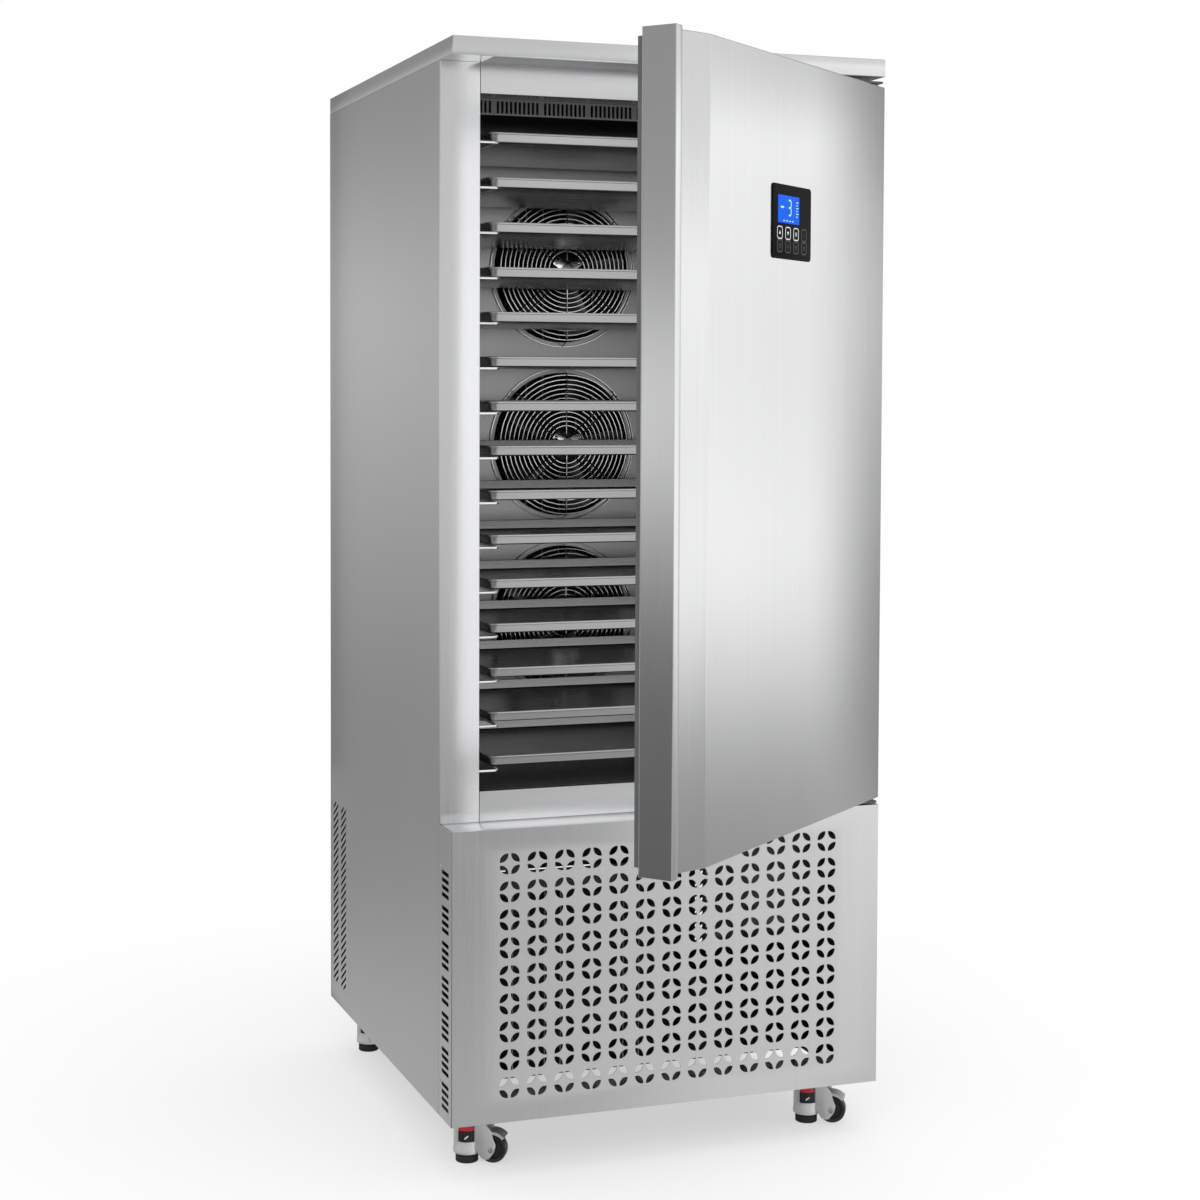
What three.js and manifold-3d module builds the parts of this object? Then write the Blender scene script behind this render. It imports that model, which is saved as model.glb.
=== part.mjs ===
// Upright blast chiller on levelling casters, with its door partly open.
// Millimetres, +Z up. The front faces -Y, the door is hinged on the right (+X).
// The origin is on the floor, under the middle of the object as it stands.
import * as THREE from "three";
import { mergeVertices } from "three/addons/utils/BufferGeometryUtils.js";
import Module from "manifold-3d";

const wasm = await Module();
wasm.setup();

// ---------------------------------------------------------------- dimensions

const CLEARANCE = 0.3; // between pieces that touch, and all round what slides in
const GRAIN = 1e-3; // corners are rounded to this, so that flush faces really are flush
const SHEET = 1.2; // folded stainless sheet

// trays and the racks that carry them
const TRAY_COUNT = 15;
const TRAY_WIDTH = 600;
const TRAY_DEPTH = 400;
const TRAY_HEIGHT = 18;
const TRAY_WALL = 1;
const TRAY_RIM = 5;
const TRAY_CORNER = 7;
const TRAY_CORNER_STEPS = 1;
const TRAY_PITCH = 77.1;
const TRAY_SETBACK = 40; // front rim behind the door frame
const RUNNER_WIRE = 5;
const RUNNER_UNDERLAP = 15; // runner's inner leg inside the tray's edge
const RUNNER_FRONT = 17.5; // front of a runner behind the door frame
const RACK_STRIP_WIDTH = 12;
const RACK_STRIP = 3;

// insulated chamber
const RACK_SPACE = 28; // beside the trays, on each side
const STILE = 72; // beside the door opening, on each side
const FLOOR_WALL = 52;
const CEILING_WALL = 52;
const BACK_WALL = 58;
const SPACE_OVER_TRAYS = 59;
const SPACE_UNDER_TRAYS = 52.6;
const FRAME_RETURN = 16; // sheet folded into the opening
const PANEL_RETURN = 15; // side panel folded in at the back
const DUCT_HEIGHT = 29;
const DUCT_SETBACK = 60;
const DUCT_WINDOWS = 7;
const DUCT_WINDOW_WIDTH = 78;
const DUCT_WINDOW_HEIGHT = 22;
const FAN_PLATE_GAP = 60; // behind the trays
const PLENUM = 214; // from the fan plate to the back of the liner

// evaporator and its fans
const FAN_COUNT = 3;
const GUARD_RADIUS = 150;
const GUARD_GAP = 40; // between neighbouring guards
const GUARD_RISE = 30;
const GUARD_WIRE = 4;
const GUARD_RINGS = [58, 100];
const GUARD_SPOKES = 6;
const GUARD_SHOULDER = 16; // where a spoke bends down to the outer ring
const FAN_ROW_DROP = 13.5; // middle fan below the middle of the chamber
const HUB_PLATE_WIDTH = 66;
const HUB_PLATE_HEIGHT = 44;
const MOTOR_RADIUS = 34;
const SHAFT_RADIUS = 4;
const ROTOR_CLEARANCE = 12; // blade tip to the opening's edge
const ROTOR_HUB_RADIUS = 32;
const ROTOR_HUB_LENGTH = 26;
const BLADE_COUNT = 5;
const BLADE_CHORD = 44;
const BLADE_THICKNESS = 2;
const BLADE_PITCH = 30; // degrees
const COIL_WIDTH = 600;
const COIL_DEPTH = 150;
const COIL_END_GAP = 45;
const COIL_FINS = 18;
const FIN = 1.6;

// machine compartment
const COMPARTMENT_HEIGHT = 502;
const RAIL = 30;
const RAIL_FOOT = 40;
const RAIL_THICKNESS = 3;
const POST = 25;
const POST_REACH = 18; // in front of the door frame, for the front cover's screws
const MACHINE_TRAY_FRONT = 150;
const CONDENSER_WIDTH = 430;
const CONDENSER_HEIGHT = 340;
const CONDENSER_DEPTH = 90;
const CONDENSER_X = -125;
const CONDENSER_FINS = 15;
const SHROUD_DEPTH = 55;
const CONDENSER_FAN_RADIUS = 150;
const CONDENSER_MOTOR_RADIUS = 42;
const CONDENSER_MOTOR_LENGTH = 60;
const CONDENSER_ARM = 6;
const COMPRESSOR_X = 200;
const COMPRESSOR_Y = 560;
const COMPRESSOR_RADIUS = 105;
const COMPRESSOR_HEIGHT = 340;
const COMPRESSOR_WALL = 4;
const COMPRESSOR_FOOT = 22;
const COMPRESSOR_NECK = 0.6; // flat end of each dome, as a part of the radius
const TERMINALS = { width: 70, height: 80, proud: 20, z: 150 };
const PIPE_RADIUS = 6;
const SUCTION_RISE = 30;
const SUCTION_SHIFT = 60;
const DISCHARGE_DROP = 90; // below the can's top
const DISCHARGE_REACH = 60;
const CONDENSER_INLET_DROP = 60; // below the condenser's top
const CONDENSER_INLET_RUN = 40;
const CONTROL_BOX = { width: 120, depth: 200, height: 240, wall: 1.5, y: 420, z: 250 };

// front cover of the machine compartment
const CLOVER_COLUMNS = 13;
const CLOVER_ROWS = 9;
const CLOVER_PITCH_X = 49.5;
const CLOVER_PITCH_Z = 47.9;
const CLOVER_RADIUS = 18;
const COVER_SLOT_GROUPS = 7;
const COVER_SLOTS = 4; // in each group
const COVER_SLOT_PITCH = 12.6;
const COVER_GROUP_PITCH = 60.7;
const COVER_SLOT_START = 42; // middle of the first group above the cover's foot
const COVER_SLOT = { width: 32, height: 6, rise: 16 };

// side and rear louvres
const LOUVRE_COUNT = 26;
const LOUVRE_PITCH = 14.6;
const LOUVRE_BACK_MARGIN = 44;
const LOUVRE_COLUMN_PITCH = 62;
const LOUVRE_BOTTOM = 137;
const LOUVRE = { width: 36, height: 6.5, rise: 22 };
const REAR_SLOT = { width: 240, height: 12, pitch: 48, rows: 8, columns: 2, gap: 48 };
const GLAND_RADIUS = 12;
const GLAND_LENGTH = 14;
const GLAND_X = 330;
const GLAND_Z = 60; // above the cabinet's underside

// worktop
const WORKTOP_EDGE = 31;
const WORKTOP_LIP = 20; // underside folded back past the door frame

// door
const DOOR_OPEN = 39.6; // degrees
const DOOR_THICKNESS = 57;
const GASKET_DEPTH = 16;
const GASKET_WIDTH = 22;
const GASKET_MARGIN = 11; // from the door's top and bottom
const GASKET_FACE_GAP = 0.5; // to the frame when shut
const DOOR_SIDE_MARGIN = 1.5;
const DOOR_TOP_GAP = 16.5;
const DOOR_BOTTOM_GAP = 10.6;
const PIVOT_FROM_SIDE = 13.5;
const PIVOT_FROM_FACE = 15;
const PIVOT_RADIUS = 6;
const PIVOT_DEPTH = 30;
const PIVOT_CLEARANCE = 0.6;
const GRIP_WIDTH = 110; // sloping strip and lip together
const GRIP_DEPTH = 27;
const GRIP_LIP = 20;
const GRIP_UNDERCUT = 4;
const HINGE_PLATE = 4;
const HINGE_WIDTH = 44;
const HINGE_ARM = 9.6; // bracket past the pin's axis
const HINGE_MARGIN = 2; // bracket's upright from the pieces above and below it

// control panel on the door
const DISPLAY_WIDTH = 149;
const DISPLAY_HEIGHT = 120;
const DISPLAY_CORNER = 7;
const DISPLAY_PROUD = 2;
const DISPLAY_BOX_MARGIN = 10; // box behind is smaller by this on each side
const DISPLAY_BOX_DEPTH = 35;
const DISPLAY_FROM_HINGE_EDGE = 393; // to its middle
const DISPLAY_FROM_TOP = 265; // to its middle

// casters
const CASTER_HEIGHT = 95;
const CASTER_LEFT_INSET = 60; // from the cabinet's left side
const CASTER_RIGHT_INSET = 88;
const CASTER_FRONT = 30; // behind the door frame
const CASTER_BACK_INSET = 74.4; // from the outer face of the back panel
const CASTER_PLATE = 76;
const CASTER_PLATE_THICKNESS = 4;
const CASTER_TRAIL = 47;
const CASTER_TURN = -32; // degrees from +X
const HOUSING_RADIUS = 24;
const HOUSING_BOTTOM = 16;
const KINGPIN_RADIUS = 8;
const KINGPIN_LENGTH = 13;
const ARM_WIDTH = 32;
const WHEEL_RADIUS = 25;
const WHEEL_WIDTH = 20;
const WHEEL_LIFT = 1; // wheel off the floor while the pads carry the load
const WHEEL_GAP = 2;
const AXLE_RADIUS = 4;
const HOOD = { toe: 14, toeLift: 8, heel: 5, cheek: 6, brow: 18, browDepth: 9, nape: 16, drop: 8 };
const PAD_RADIUS = 20;
const PAD_EDGE = 3;
const PAD_RECESS_CLEARANCE = 1.2;
const PAD_HEIGHT = 14;
const PAD_TRAVEL_UP = 8;
const STEM_RADIUS = 5;
const STEM_LENGTH = 30;
const BORE_CLEARANCE = 0.5; // round pieces that turn in one another

// ------------------------------------------------------------ derived places

const OPENING_HALF = TRAY_WIDTH / 2 + RACK_SPACE;
const SIDE = OPENING_HALF + STILE; // half of the cabinet's width
const FAN_PLATE_Y = TRAY_SETBACK + TRAY_DEPTH + FAN_PLATE_GAP;
const LINER_BACK = FAN_PLATE_Y + PLENUM;
const BACK = LINER_BACK + BACK_WALL + 2 * SHEET; // outer face of the back panel
const BACK_INSIDE = BACK - SHEET - CLEARANCE;
const CASTER_LEFT = CASTER_LEFT_INSET - SIDE;
const CASTER_RIGHT = SIDE - CASTER_RIGHT_INSET;
const CASTER_BACK = BACK - CASTER_BACK_INSET;

const BODY_BOTTOM = CASTER_HEIGHT;
const COMPARTMENT_TOP = BODY_BOTTOM + COMPARTMENT_HEIGHT;
const CHAMBER_BOTTOM = COMPARTMENT_TOP + FLOOR_WALL;
const TRAY_STACK = (TRAY_COUNT - 1) * TRAY_PITCH;
const CHAMBER_TOP = CHAMBER_BOTTOM + SPACE_UNDER_TRAYS + TRAY_STACK + SPACE_OVER_TRAYS;
const WORKTOP_UNDERSIDE = CHAMBER_TOP + CEILING_WALL;
const WORKTOP_TOP = WORKTOP_UNDERSIDE + WORKTOP_EDGE;
const TOP_RIM = CHAMBER_TOP - SPACE_OVER_TRAYS;

const OVERHANG = DOOR_THICKNESS + GASKET_DEPTH; // worktop and front cover stand this far out
const DOOR_RIGHT = SIDE - DOOR_SIDE_MARGIN;
const DOOR_LEFT = -DOOR_RIGHT;
const DOOR_BOTTOM = COMPARTMENT_TOP + DOOR_BOTTOM_GAP;
const DOOR_TOP = WORKTOP_UNDERSIDE - DOOR_TOP_GAP;
const DOOR_FACE = -OVERHANG;
const DOOR_BACK = -GASKET_DEPTH;
const PIVOT_X = SIDE - PIVOT_FROM_SIDE;
const PIVOT_Y = DOOR_FACE + PIVOT_FROM_FACE;

const FAN_SPACING = 2 * GUARD_RADIUS + GUARD_GAP;
const FAN_OPENING = GUARD_RADIUS - 8;
const MIDDLE_FAN_Z = (CHAMBER_BOTTOM + CHAMBER_TOP) / 2 - FAN_ROW_DROP;
const MACHINE_FLOOR = BODY_BOTTOM + RAIL_THICKNESS + CLEARANCE;

// The open door's free corner reaches furthest forward; the origin lies midway to the back.
const OPEN = THREE.MathUtils.degToRad(DOOR_OPEN);
const FREE_EDGE = PIVOT_X - DOOR_LEFT;
const OPEN_REACH = PIVOT_Y - FREE_EDGE * Math.sin(OPEN) - PIVOT_FROM_FACE * Math.cos(OPEN);
const FRAME_Y = -Math.round((BACK + GLAND_LENGTH + OPEN_REACH) / 2);

// ------------------------------------------------------------------ materials

const MATERIALS = {
  brushedSteel: { color: 0xc4c5c6, roughness: 0.38, metalness: 1 },
  darkSteel: { color: 0x4a4b4d, roughness: 0.45, metalness: 1 },
  traySteel: { color: 0x8f9092, roughness: 0.35, metalness: 1 },
  chromeWire: { color: 0xd9dadb, roughness: 0.15, metalness: 1 },
  galvanised: { color: 0x9fa3a6, roughness: 0.5, metalness: 1 },
  castAluminium: { color: 0xd2d2ce, roughness: 0.5, metalness: 0.6 },
  finAluminium: { color: 0xb5b8ba, roughness: 0.45, metalness: 1 },
  foam: { color: 0xd8c98a, roughness: 0.9, metalness: 0 },
  blackPaint: { color: 0x161617, roughness: 0.45, metalness: 0 },
  blackPlastic: { color: 0x0f1012, roughness: 0.25, metalness: 0 },
  blackNylon: { color: 0x121213, roughness: 0.4, metalness: 0 },
  blackRubber: { color: 0x1b1b1c, roughness: 0.8, metalness: 0 },
  greyRubber: { color: 0x55575a, roughness: 0.7, metalness: 0 },
};

// -------------------------------------------------------------------- helpers

// A closed three.js geometry as a solid that can be joined and cut.
function toSolid(geometry) {
  const bare = geometry.clone();
  bare.deleteAttribute("normal");
  bare.deleteAttribute("uv");
  const places = bare.attributes.position.array;
  for (let i = 0; i < places.length; i++)
    places[i] = Math.round(places[i] / GRAIN) * GRAIN;
  const merged = mergeVertices(bare, GRAIN / 10);
  const mesh = new wasm.Mesh({
    numProp: 3,
    vertProperties: merged.attributes.position.array,
    triVerts: new Uint32Array(merged.index.array),
  });
  return new wasm.Manifold(mesh);
}

function toGeometry(solid) {
  const mesh = solid.getMesh();
  const geometry = new THREE.BufferGeometry();
  geometry.setAttribute("position", new THREE.BufferAttribute(mesh.vertProperties, 3));
  geometry.setIndex(new THREE.BufferAttribute(mesh.triVerts, 1));
  return geometry;
}

function join(...pieces) {
  return toGeometry(pieces.map(toSolid).reduce((whole, next) => whole.add(next)));
}

function cut(base, ...tools) {
  return toGeometry(tools.map(toSolid).reduce((left, tool) => left.subtract(tool), toSolid(base)));
}

function box(x0, x1, y0, y1, z0, z1) {
  const block = new THREE.BoxGeometry(x1 - x0, y1 - y0, z1 - z0);
  return block.translate((x0 + x1) / 2, (y0 + y1) / 2, (z0 + z1) / 2);
}

// An upright round bar.
function rod(radius, x, y, z0, z1, sides = 16) {
  const bar = new THREE.CylinderGeometry(radius, radius, z1 - z0, sides);
  return bar.rotateX(Math.PI / 2).translate(x, y, (z0 + z1) / 2);
}

// A round bar along Y.
function rodY(radius, x, z, y0, y1, sides = 16) {
  const bar = new THREE.CylinderGeometry(radius, radius, y1 - y0, sides);
  return bar.translate(x, (y0 + y1) / 2, z);
}

// A square bar between two points.
function bar(from, to, thickness) {
  const along = new THREE.Vector3().subVectors(to, from);
  const turn = new THREE.Quaternion();
  turn.setFromUnitVectors(new THREE.Vector3(1, 0, 0), along.clone().normalize());
  const stick = new THREE.BoxGeometry(along.length(), thickness, thickness);
  stick.applyQuaternion(turn);
  return stick.translate(...new THREE.Vector3().addVectors(from, to).multiplyScalar(0.5));
}

function outline(points) {
  return new THREE.Shape(points.map(([u, v]) => new THREE.Vector2(u, v)));
}

function rectangle(u0, u1, v0, v1) {
  return [[u0, v0], [u1, v0], [u1, v1], [u0, v1]];
}

function extrude(shape, depth) {
  return new THREE.ExtrudeGeometry(shape, { depth, bevelEnabled: false });
}

// A plate drawn in (x, y) and standing from z0 to z1.
function plateZ(shape, z0, z1) {
  return extrude(shape, z1 - z0).translate(0, 0, z0);
}

// A plate drawn in (x, z) and reaching from y0 to y1.
function plateY(shape, y0, y1) {
  return extrude(shape, y1 - y0).rotateX(Math.PI / 2).translate(0, y1, 0);
}

// A plate drawn in (y, z) and reaching from x0 to x1.
function plateX(shape, x0, x1) {
  const turned = new THREE.Matrix4().makeBasis(
    new THREE.Vector3(0, 1, 0),
    new THREE.Vector3(0, 0, 1),
    new THREE.Vector3(1, 0, 0),
  );
  return extrude(shape, x1 - x0).applyMatrix4(turned).translate(x0, 0, 0);
}

// A flat sheet across X with holes drawn in (y, z).
function piercedX([x0, x1], [y0, y1], [z0, z1], holes) {
  const tools = holes.map((points) => plateX(outline(points), x0 - 1, x1 + 1));
  return cut(box(x0, x1, y0, y1, z0, z1), ...tools);
}

// A flat sheet across Y with holes drawn in (x, z).
function piercedY([x0, x1], [y0, y1], [z0, z1], holes) {
  const tools = holes.map((points) => plateY(outline(points), y0 - 1, y1 + 1));
  return cut(box(x0, x1, y0, y1, z0, z1), ...tools);
}

// A slanted slot: it climbs by its rise from its first edge to its second.
function slantedSlot(u, v, { width, height, rise }) {
  const half = width / 2;
  const low = v - (height + rise) / 2;
  return [
    [u - half, low],
    [u + half, low + rise],
    [u + half, low + rise + height],
    [u - half, low + height],
  ];
}

function roundedCorners(halfX, halfY, radius, steps) {
  const corners = [[1, 1, 0], [-1, 1, 1], [-1, -1, 2], [1, -1, 3]];
  return corners.flatMap(([sx, sy, quarter]) =>
    Array.from({ length: steps + 1 }, (_, i) => {
      const angle = (quarter + i / steps) * (Math.PI / 2);
      const x = sx * (halfX - radius) + radius * Math.cos(angle);
      const y = sy * (halfY - radius) + radius * Math.sin(angle);
      return [x, y];
    }),
  );
}

// A closed skin over rings of equal point count, with a flat cap on the first and the last.
function loft(rings) {
  const count = rings[0].length;
  const positions = rings.flat(2);
  const index = [];
  for (let r = 0; r + 1 < rings.length; r++)
    for (let i = 0; i < count; i++) {
      const a = r * count + i;
      const b = r * count + ((i + 1) % count);
      index.push(a, b, b + count, a, b + count, a + count);
    }
  const last = (rings.length - 1) * count;
  for (let i = 1; i + 1 < count; i++) {
    index.push(0, i + 1, i);
    index.push(last, last + i, last + i + 1);
  }
  const skin = new THREE.BufferGeometry();
  skin.setAttribute("position", new THREE.Float32BufferAttribute(positions, 3));
  skin.setIndex(index);
  return skin;
}

// A turned ring or disc round Y; its profile is [radius, y] points that close on themselves
// or start and end on the axis.
function turned(profile, segments) {
  const points = profile.map(([radius, y]) => new THREE.Vector2(radius, y));
  return new THREE.LatheGeometry(points, segments);
}

function ring(radius, thickness, y0, y1, segments) {
  const [inner, outer] = [radius - thickness / 2, radius + thickness / 2];
  return turned([[inner, y0], [outer, y0], [outer, y1], [inner, y1], [inner, y0]], segments);
}

function piece(parent, name, geometry, material) {
  const faces = geometry.index ? geometry.toNonIndexed() : geometry;
  const mesh = new THREE.Mesh(faces, new THREE.MeshStandardMaterial(material));
  mesh.geometry.computeVertexNormals();
  mesh.name = name;
  parent.add(mesh);
  return mesh;
}

function groupAt(parent, x, y, z) {
  const group = new THREE.Group();
  group.position.set(x, y, z);
  parent.add(group);
  return group;
}

// -------------------------------------------------------------- cabinet shell

// One bent sheet: the side, the stile beside the opening, and the fold at the back.
function sidePanel(side) {
  const slots = [];
  for (let column = 0; column < 2; column++)
    for (let i = 0; i < LOUVRE_COUNT; i++) {
      const y = BACK - LOUVRE_BACK_MARGIN - column * LOUVRE_COLUMN_PITCH;
      const slot = { ...LOUVRE, rise: -LOUVRE.rise };
      slots.push(slantedSlot(y, LOUVRE_BOTTOM + i * LOUVRE_PITCH, slot));
    }
  const top = WORKTOP_UNDERSIDE - CLEARANCE;
  const foot = COMPARTMENT_TOP + SHEET + CLEARANCE;
  const panel = join(
    piercedX([-SIDE, SHEET - SIDE], [0, BACK_INSIDE], [BODY_BOTTOM, top], slots),
    box(-SIDE, -OPENING_HALF, 0, SHEET, COMPARTMENT_TOP, top),
    box(-OPENING_HALF - SHEET, -OPENING_HALF, 0, FRAME_RETURN, CHAMBER_BOTTOM, CHAMBER_TOP),
    box(-SIDE, PANEL_RETURN - SIDE, BACK_INSIDE - SHEET, BACK_INSIDE, foot, top),
  );
  return side < 0 ? panel : mirrored(panel);
}

// The same piece for the other side: x turned round, and each face turned back outwards.
function mirrored(geometry) {
  const flipped = geometry.clone().scale(-1, 1, 1);
  const index = flipped.index.array;
  for (let i = 0; i < index.length; i += 3)
    [index[i], index[i + 1]] = [index[i + 1], index[i]];
  return flipped;
}

function backPanel() {
  const z0 = COMPARTMENT_TOP + CLEARANCE;
  return box(-SIDE, SIDE, BACK - SHEET, BACK, z0, WORKTOP_UNDERSIDE - CLEARANCE);
}

// Ventilated rear cover of the machine compartment, with the mains cable gland.
function rearCover() {
  const { width, height, pitch, rows, columns, gap } = REAR_SLOT;
  const middle = (BODY_BOTTOM + COMPARTMENT_TOP) / 2;
  const slots = [];
  for (let column = 0; column < columns; column++)
    for (let row = 0; row < rows; row++) {
      const x = (column - (columns - 1) / 2) * (width + gap);
      const z = middle + (row - (rows - 1) / 2) * pitch;
      slots.push(rectangle(x - width / 2, x + width / 2, z - height / 2, z + height / 2));
    }
  const sheet = [BACK - SHEET, BACK];
  const face = piercedY([-SIDE, SIDE], sheet, [BODY_BOTTOM, COMPARTMENT_TOP - CLEARANCE], slots);
  const z = BODY_BOTTOM + GLAND_Z;
  const gland = rodY(GLAND_RADIUS, GLAND_X, z, BACK - SHEET, BACK + GLAND_LENGTH, 12);
  const inlet = rodY(GLAND_RADIUS / 2, GLAND_X, z, BACK - 2 * SHEET, BACK + 2 * GLAND_LENGTH, 12);
  return cut(join(face, gland), inlet);
}

// A folded pan: closed under its front overhang, open underneath over the insulation.
function worktop() {
  const skin = SHEET;
  return cut(
    box(-SIDE, SIDE, -OVERHANG, BACK, WORKTOP_UNDERSIDE, WORKTOP_TOP),
    box(skin - SIDE, SIDE - skin, skin - OVERHANG, BACK - skin,
      WORKTOP_UNDERSIDE + skin, WORKTOP_TOP - skin),
    box(skin - SIDE, SIDE - skin, WORKTOP_LIP, BACK - skin,
      WORKTOP_UNDERSIDE - skin, WORKTOP_TOP - 2 * skin),
  );
}

function topRail() {
  const half = OPENING_HALF - CLEARANCE;
  const section = outline([
    [0, CHAMBER_TOP],
    [FRAME_RETURN, CHAMBER_TOP],
    [FRAME_RETURN, CHAMBER_TOP + SHEET],
    [SHEET, CHAMBER_TOP + SHEET],
    [SHEET, WORKTOP_UNDERSIDE - CLEARANCE],
    [0, WORKTOP_UNDERSIDE - CLEARANCE],
  ]);
  return plateX(section, -half, half);
}

// Front rail, sill and the sheet that closes the underside of the insulation.
function bottomRail() {
  const half = OPENING_HALF - CLEARANCE;
  const inside = SIDE - SHEET - CLEARANCE;
  const section = outline([
    [0, COMPARTMENT_TOP],
    [BACK_INSIDE / 2, COMPARTMENT_TOP],
    [BACK_INSIDE / 2, COMPARTMENT_TOP + SHEET],
    [SHEET, COMPARTMENT_TOP + SHEET],
    [SHEET, CHAMBER_BOTTOM - SHEET],
    [FRAME_RETURN, CHAMBER_BOTTOM - SHEET],
    [FRAME_RETURN, CHAMBER_BOTTOM],
    [0, CHAMBER_BOTTOM],
  ]);
  return join(
    plateX(section, -half, half),
    box(-inside, inside, SHEET + CLEARANCE, BACK_INSIDE, COMPARTMENT_TOP, COMPARTMENT_TOP + SHEET),
  );
}

function insulation() {
  const inside = SIDE - SHEET - CLEARANCE;
  const wall = SHEET + CLEARANCE;
  const half = OPENING_HALF + wall;
  return cut(
    box(-inside, inside, wall, BACK_INSIDE - wall,
      COMPARTMENT_TOP + wall, WORKTOP_UNDERSIDE - CLEARANCE),
    box(-half, half, -wall, LINER_BACK + wall, CHAMBER_BOTTOM - wall, CHAMBER_TOP + wall),
  );
}

function liner() {
  const front = FRAME_RETURN + CLEARANCE;
  const half = OPENING_HALF;
  return cut(
    box(-half - SHEET, half + SHEET, front, LINER_BACK + SHEET,
      CHAMBER_BOTTOM - SHEET, CHAMBER_TOP + SHEET),
    box(-half, half, 0, LINER_BACK, CHAMBER_BOTTOM, CHAMBER_TOP),
  );
}

// ------------------------------------------------------------- inside chamber

// Ceiling duct: a front face with windows, and a floor that runs back to the fan plate.
function airDuct() {
  const half = OPENING_HALF - CLEARANCE;
  const z0 = CHAMBER_TOP - DUCT_HEIGHT;
  const pitch = (2 * half) / DUCT_WINDOWS;
  const middle = z0 + DUCT_HEIGHT / 2;
  const windows = Array.from({ length: DUCT_WINDOWS }, (_, i) => {
    const x = (i - (DUCT_WINDOWS - 1) / 2) * pitch;
    return rectangle(x - DUCT_WINDOW_WIDTH / 2, x + DUCT_WINDOW_WIDTH / 2,
      middle - DUCT_WINDOW_HEIGHT / 2, middle + DUCT_WINDOW_HEIGHT / 2);
  });
  const sheet = [DUCT_SETBACK, DUCT_SETBACK + SHEET];
  return join(
    piercedY([-half, half], sheet, [z0, CHAMBER_TOP - CLEARANCE], windows),
    box(-half, half, DUCT_SETBACK, FAN_PLATE_Y - CLEARANCE, z0, z0 + SHEET),
  );
}

function fanHeights() {
  return Array.from({ length: FAN_COUNT }, (_, i) =>
    MIDDLE_FAN_Z + ((FAN_COUNT - 1) / 2 - i) * FAN_SPACING);
}

function circle(radius, u, v, sides) {
  return Array.from({ length: sides }, (_, i) => {
    const angle = (i / sides) * 2 * Math.PI;
    return [u + radius * Math.cos(angle), v + radius * Math.sin(angle)];
  });
}

function fanPlate() {
  const half = OPENING_HALF - CLEARANCE;
  const openings = fanHeights().map((z) => circle(FAN_OPENING, 0, z, 24));
  const heights = [CHAMBER_BOTTOM + CLEARANCE, CHAMBER_TOP - CLEARANCE];
  return piercedY([-half, half], [FAN_PLATE_Y, FAN_PLATE_Y + SHEET], heights, openings);
}

// Wire guard with the fan motor on its hub plate. Drawn round Y, with y = 0 on the fan plate
// and the guard standing towards -Y.
function fanGuard() {
  const crown = -GUARD_RISE;
  const rings = GUARD_RINGS.map((r) => ring(r, GUARD_WIRE, crown, crown + GUARD_WIRE, 12));
  const foot = ring(GUARD_RADIUS, GUARD_WIRE, -CLEARANCE - GUARD_WIRE, -CLEARANCE, 16);
  const spokes = [];
  for (let i = 0; i < GUARD_SPOKES; i++) {
    const angle = ((i + 0.5) / GUARD_SPOKES) * 2 * Math.PI;
    const at = (radius, y) =>
      new THREE.Vector3(radius * Math.cos(angle), y, radius * Math.sin(angle));
    const shoulder = GUARD_RADIUS - GUARD_SHOULDER;
    const run = crown + GUARD_WIRE / 2;
    spokes.push(bar(at(MOTOR_RADIUS / 2, run), at(shoulder, run), GUARD_WIRE));
    spokes.push(bar(at(shoulder - 1, run), at(GUARD_RADIUS, -GUARD_WIRE), GUARD_WIRE));
  }
  const [w, h] = [HUB_PLATE_WIDTH / 2, HUB_PLATE_HEIGHT / 2];
  return join(
    foot,
    ...rings,
    ...spokes,
    box(-w, w, crown - GUARD_WIRE, crown + GUARD_WIRE, -h, h),
    rodY(MOTOR_RADIUS, 0, 0, crown, -GUARD_WIRE, 12),
    rodY(SHAFT_RADIUS, 0, 0, crown, ROTOR_HUB_LENGTH - GUARD_WIRE, 8),
  );
}

// Fan rotor round Y: a bored hub and pitched blades.
function fanRotor(tip, length) {
  const hub = rodY(ROTOR_HUB_RADIUS, 0, 0, 0, length, 12);
  const blades = Array.from({ length: BLADE_COUNT }, (_, i) => {
    const span = tip - ROTOR_HUB_RADIUS / 2;
    const blade = new THREE.BoxGeometry(span, BLADE_THICKNESS, BLADE_CHORD);
    blade.rotateX(THREE.MathUtils.degToRad(BLADE_PITCH));
    blade.translate(tip - span / 2, length / 2, 0);
    return blade.rotateY((i / BLADE_COUNT) * 2 * Math.PI);
  });
  const bore = rodY(SHAFT_RADIUS + BORE_CLEARANCE, 0, 0, -1, length + 1, 8);
  return cut(join(hub, ...blades), bore);
}

// Upright fins on a thin spine, between two end plates.
function finPack(x0, x1, y0, y1, z0, z1, fins) {
  const pitch = (x1 - x0 - FIN) / (fins - 1);
  const comb = [[x0, y1], [x0, y0]];
  for (let i = 0; i < fins; i++) {
    const x = x0 + i * pitch;
    if (i > 0) comb.push([x, y1 - FIN], [x, y0]);
    comb.push([x + FIN, y0]);
    if (i + 1 < fins) comb.push([x + FIN, y1 - FIN]);
  }
  comb.push([x1, y1]);
  return join(
    plateZ(outline(comb), z0, z1),
    box(x0, x1, y0, y1, z0, z0 + FIN),
    box(x0, x1, y0, y1, z1 - FIN, z1),
  );
}

function evaporator() {
  const y1 = LINER_BACK - CLEARANCE;
  return finPack(-COIL_WIDTH / 2, COIL_WIDTH / 2, y1 - COIL_DEPTH, y1,
    CHAMBER_BOTTOM + COIL_END_GAP, CHAMBER_TOP - COIL_END_GAP, COIL_FINS);
}

function rimHeight(i) {
  return TOP_RIM - i * TRAY_PITCH;
}

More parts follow.
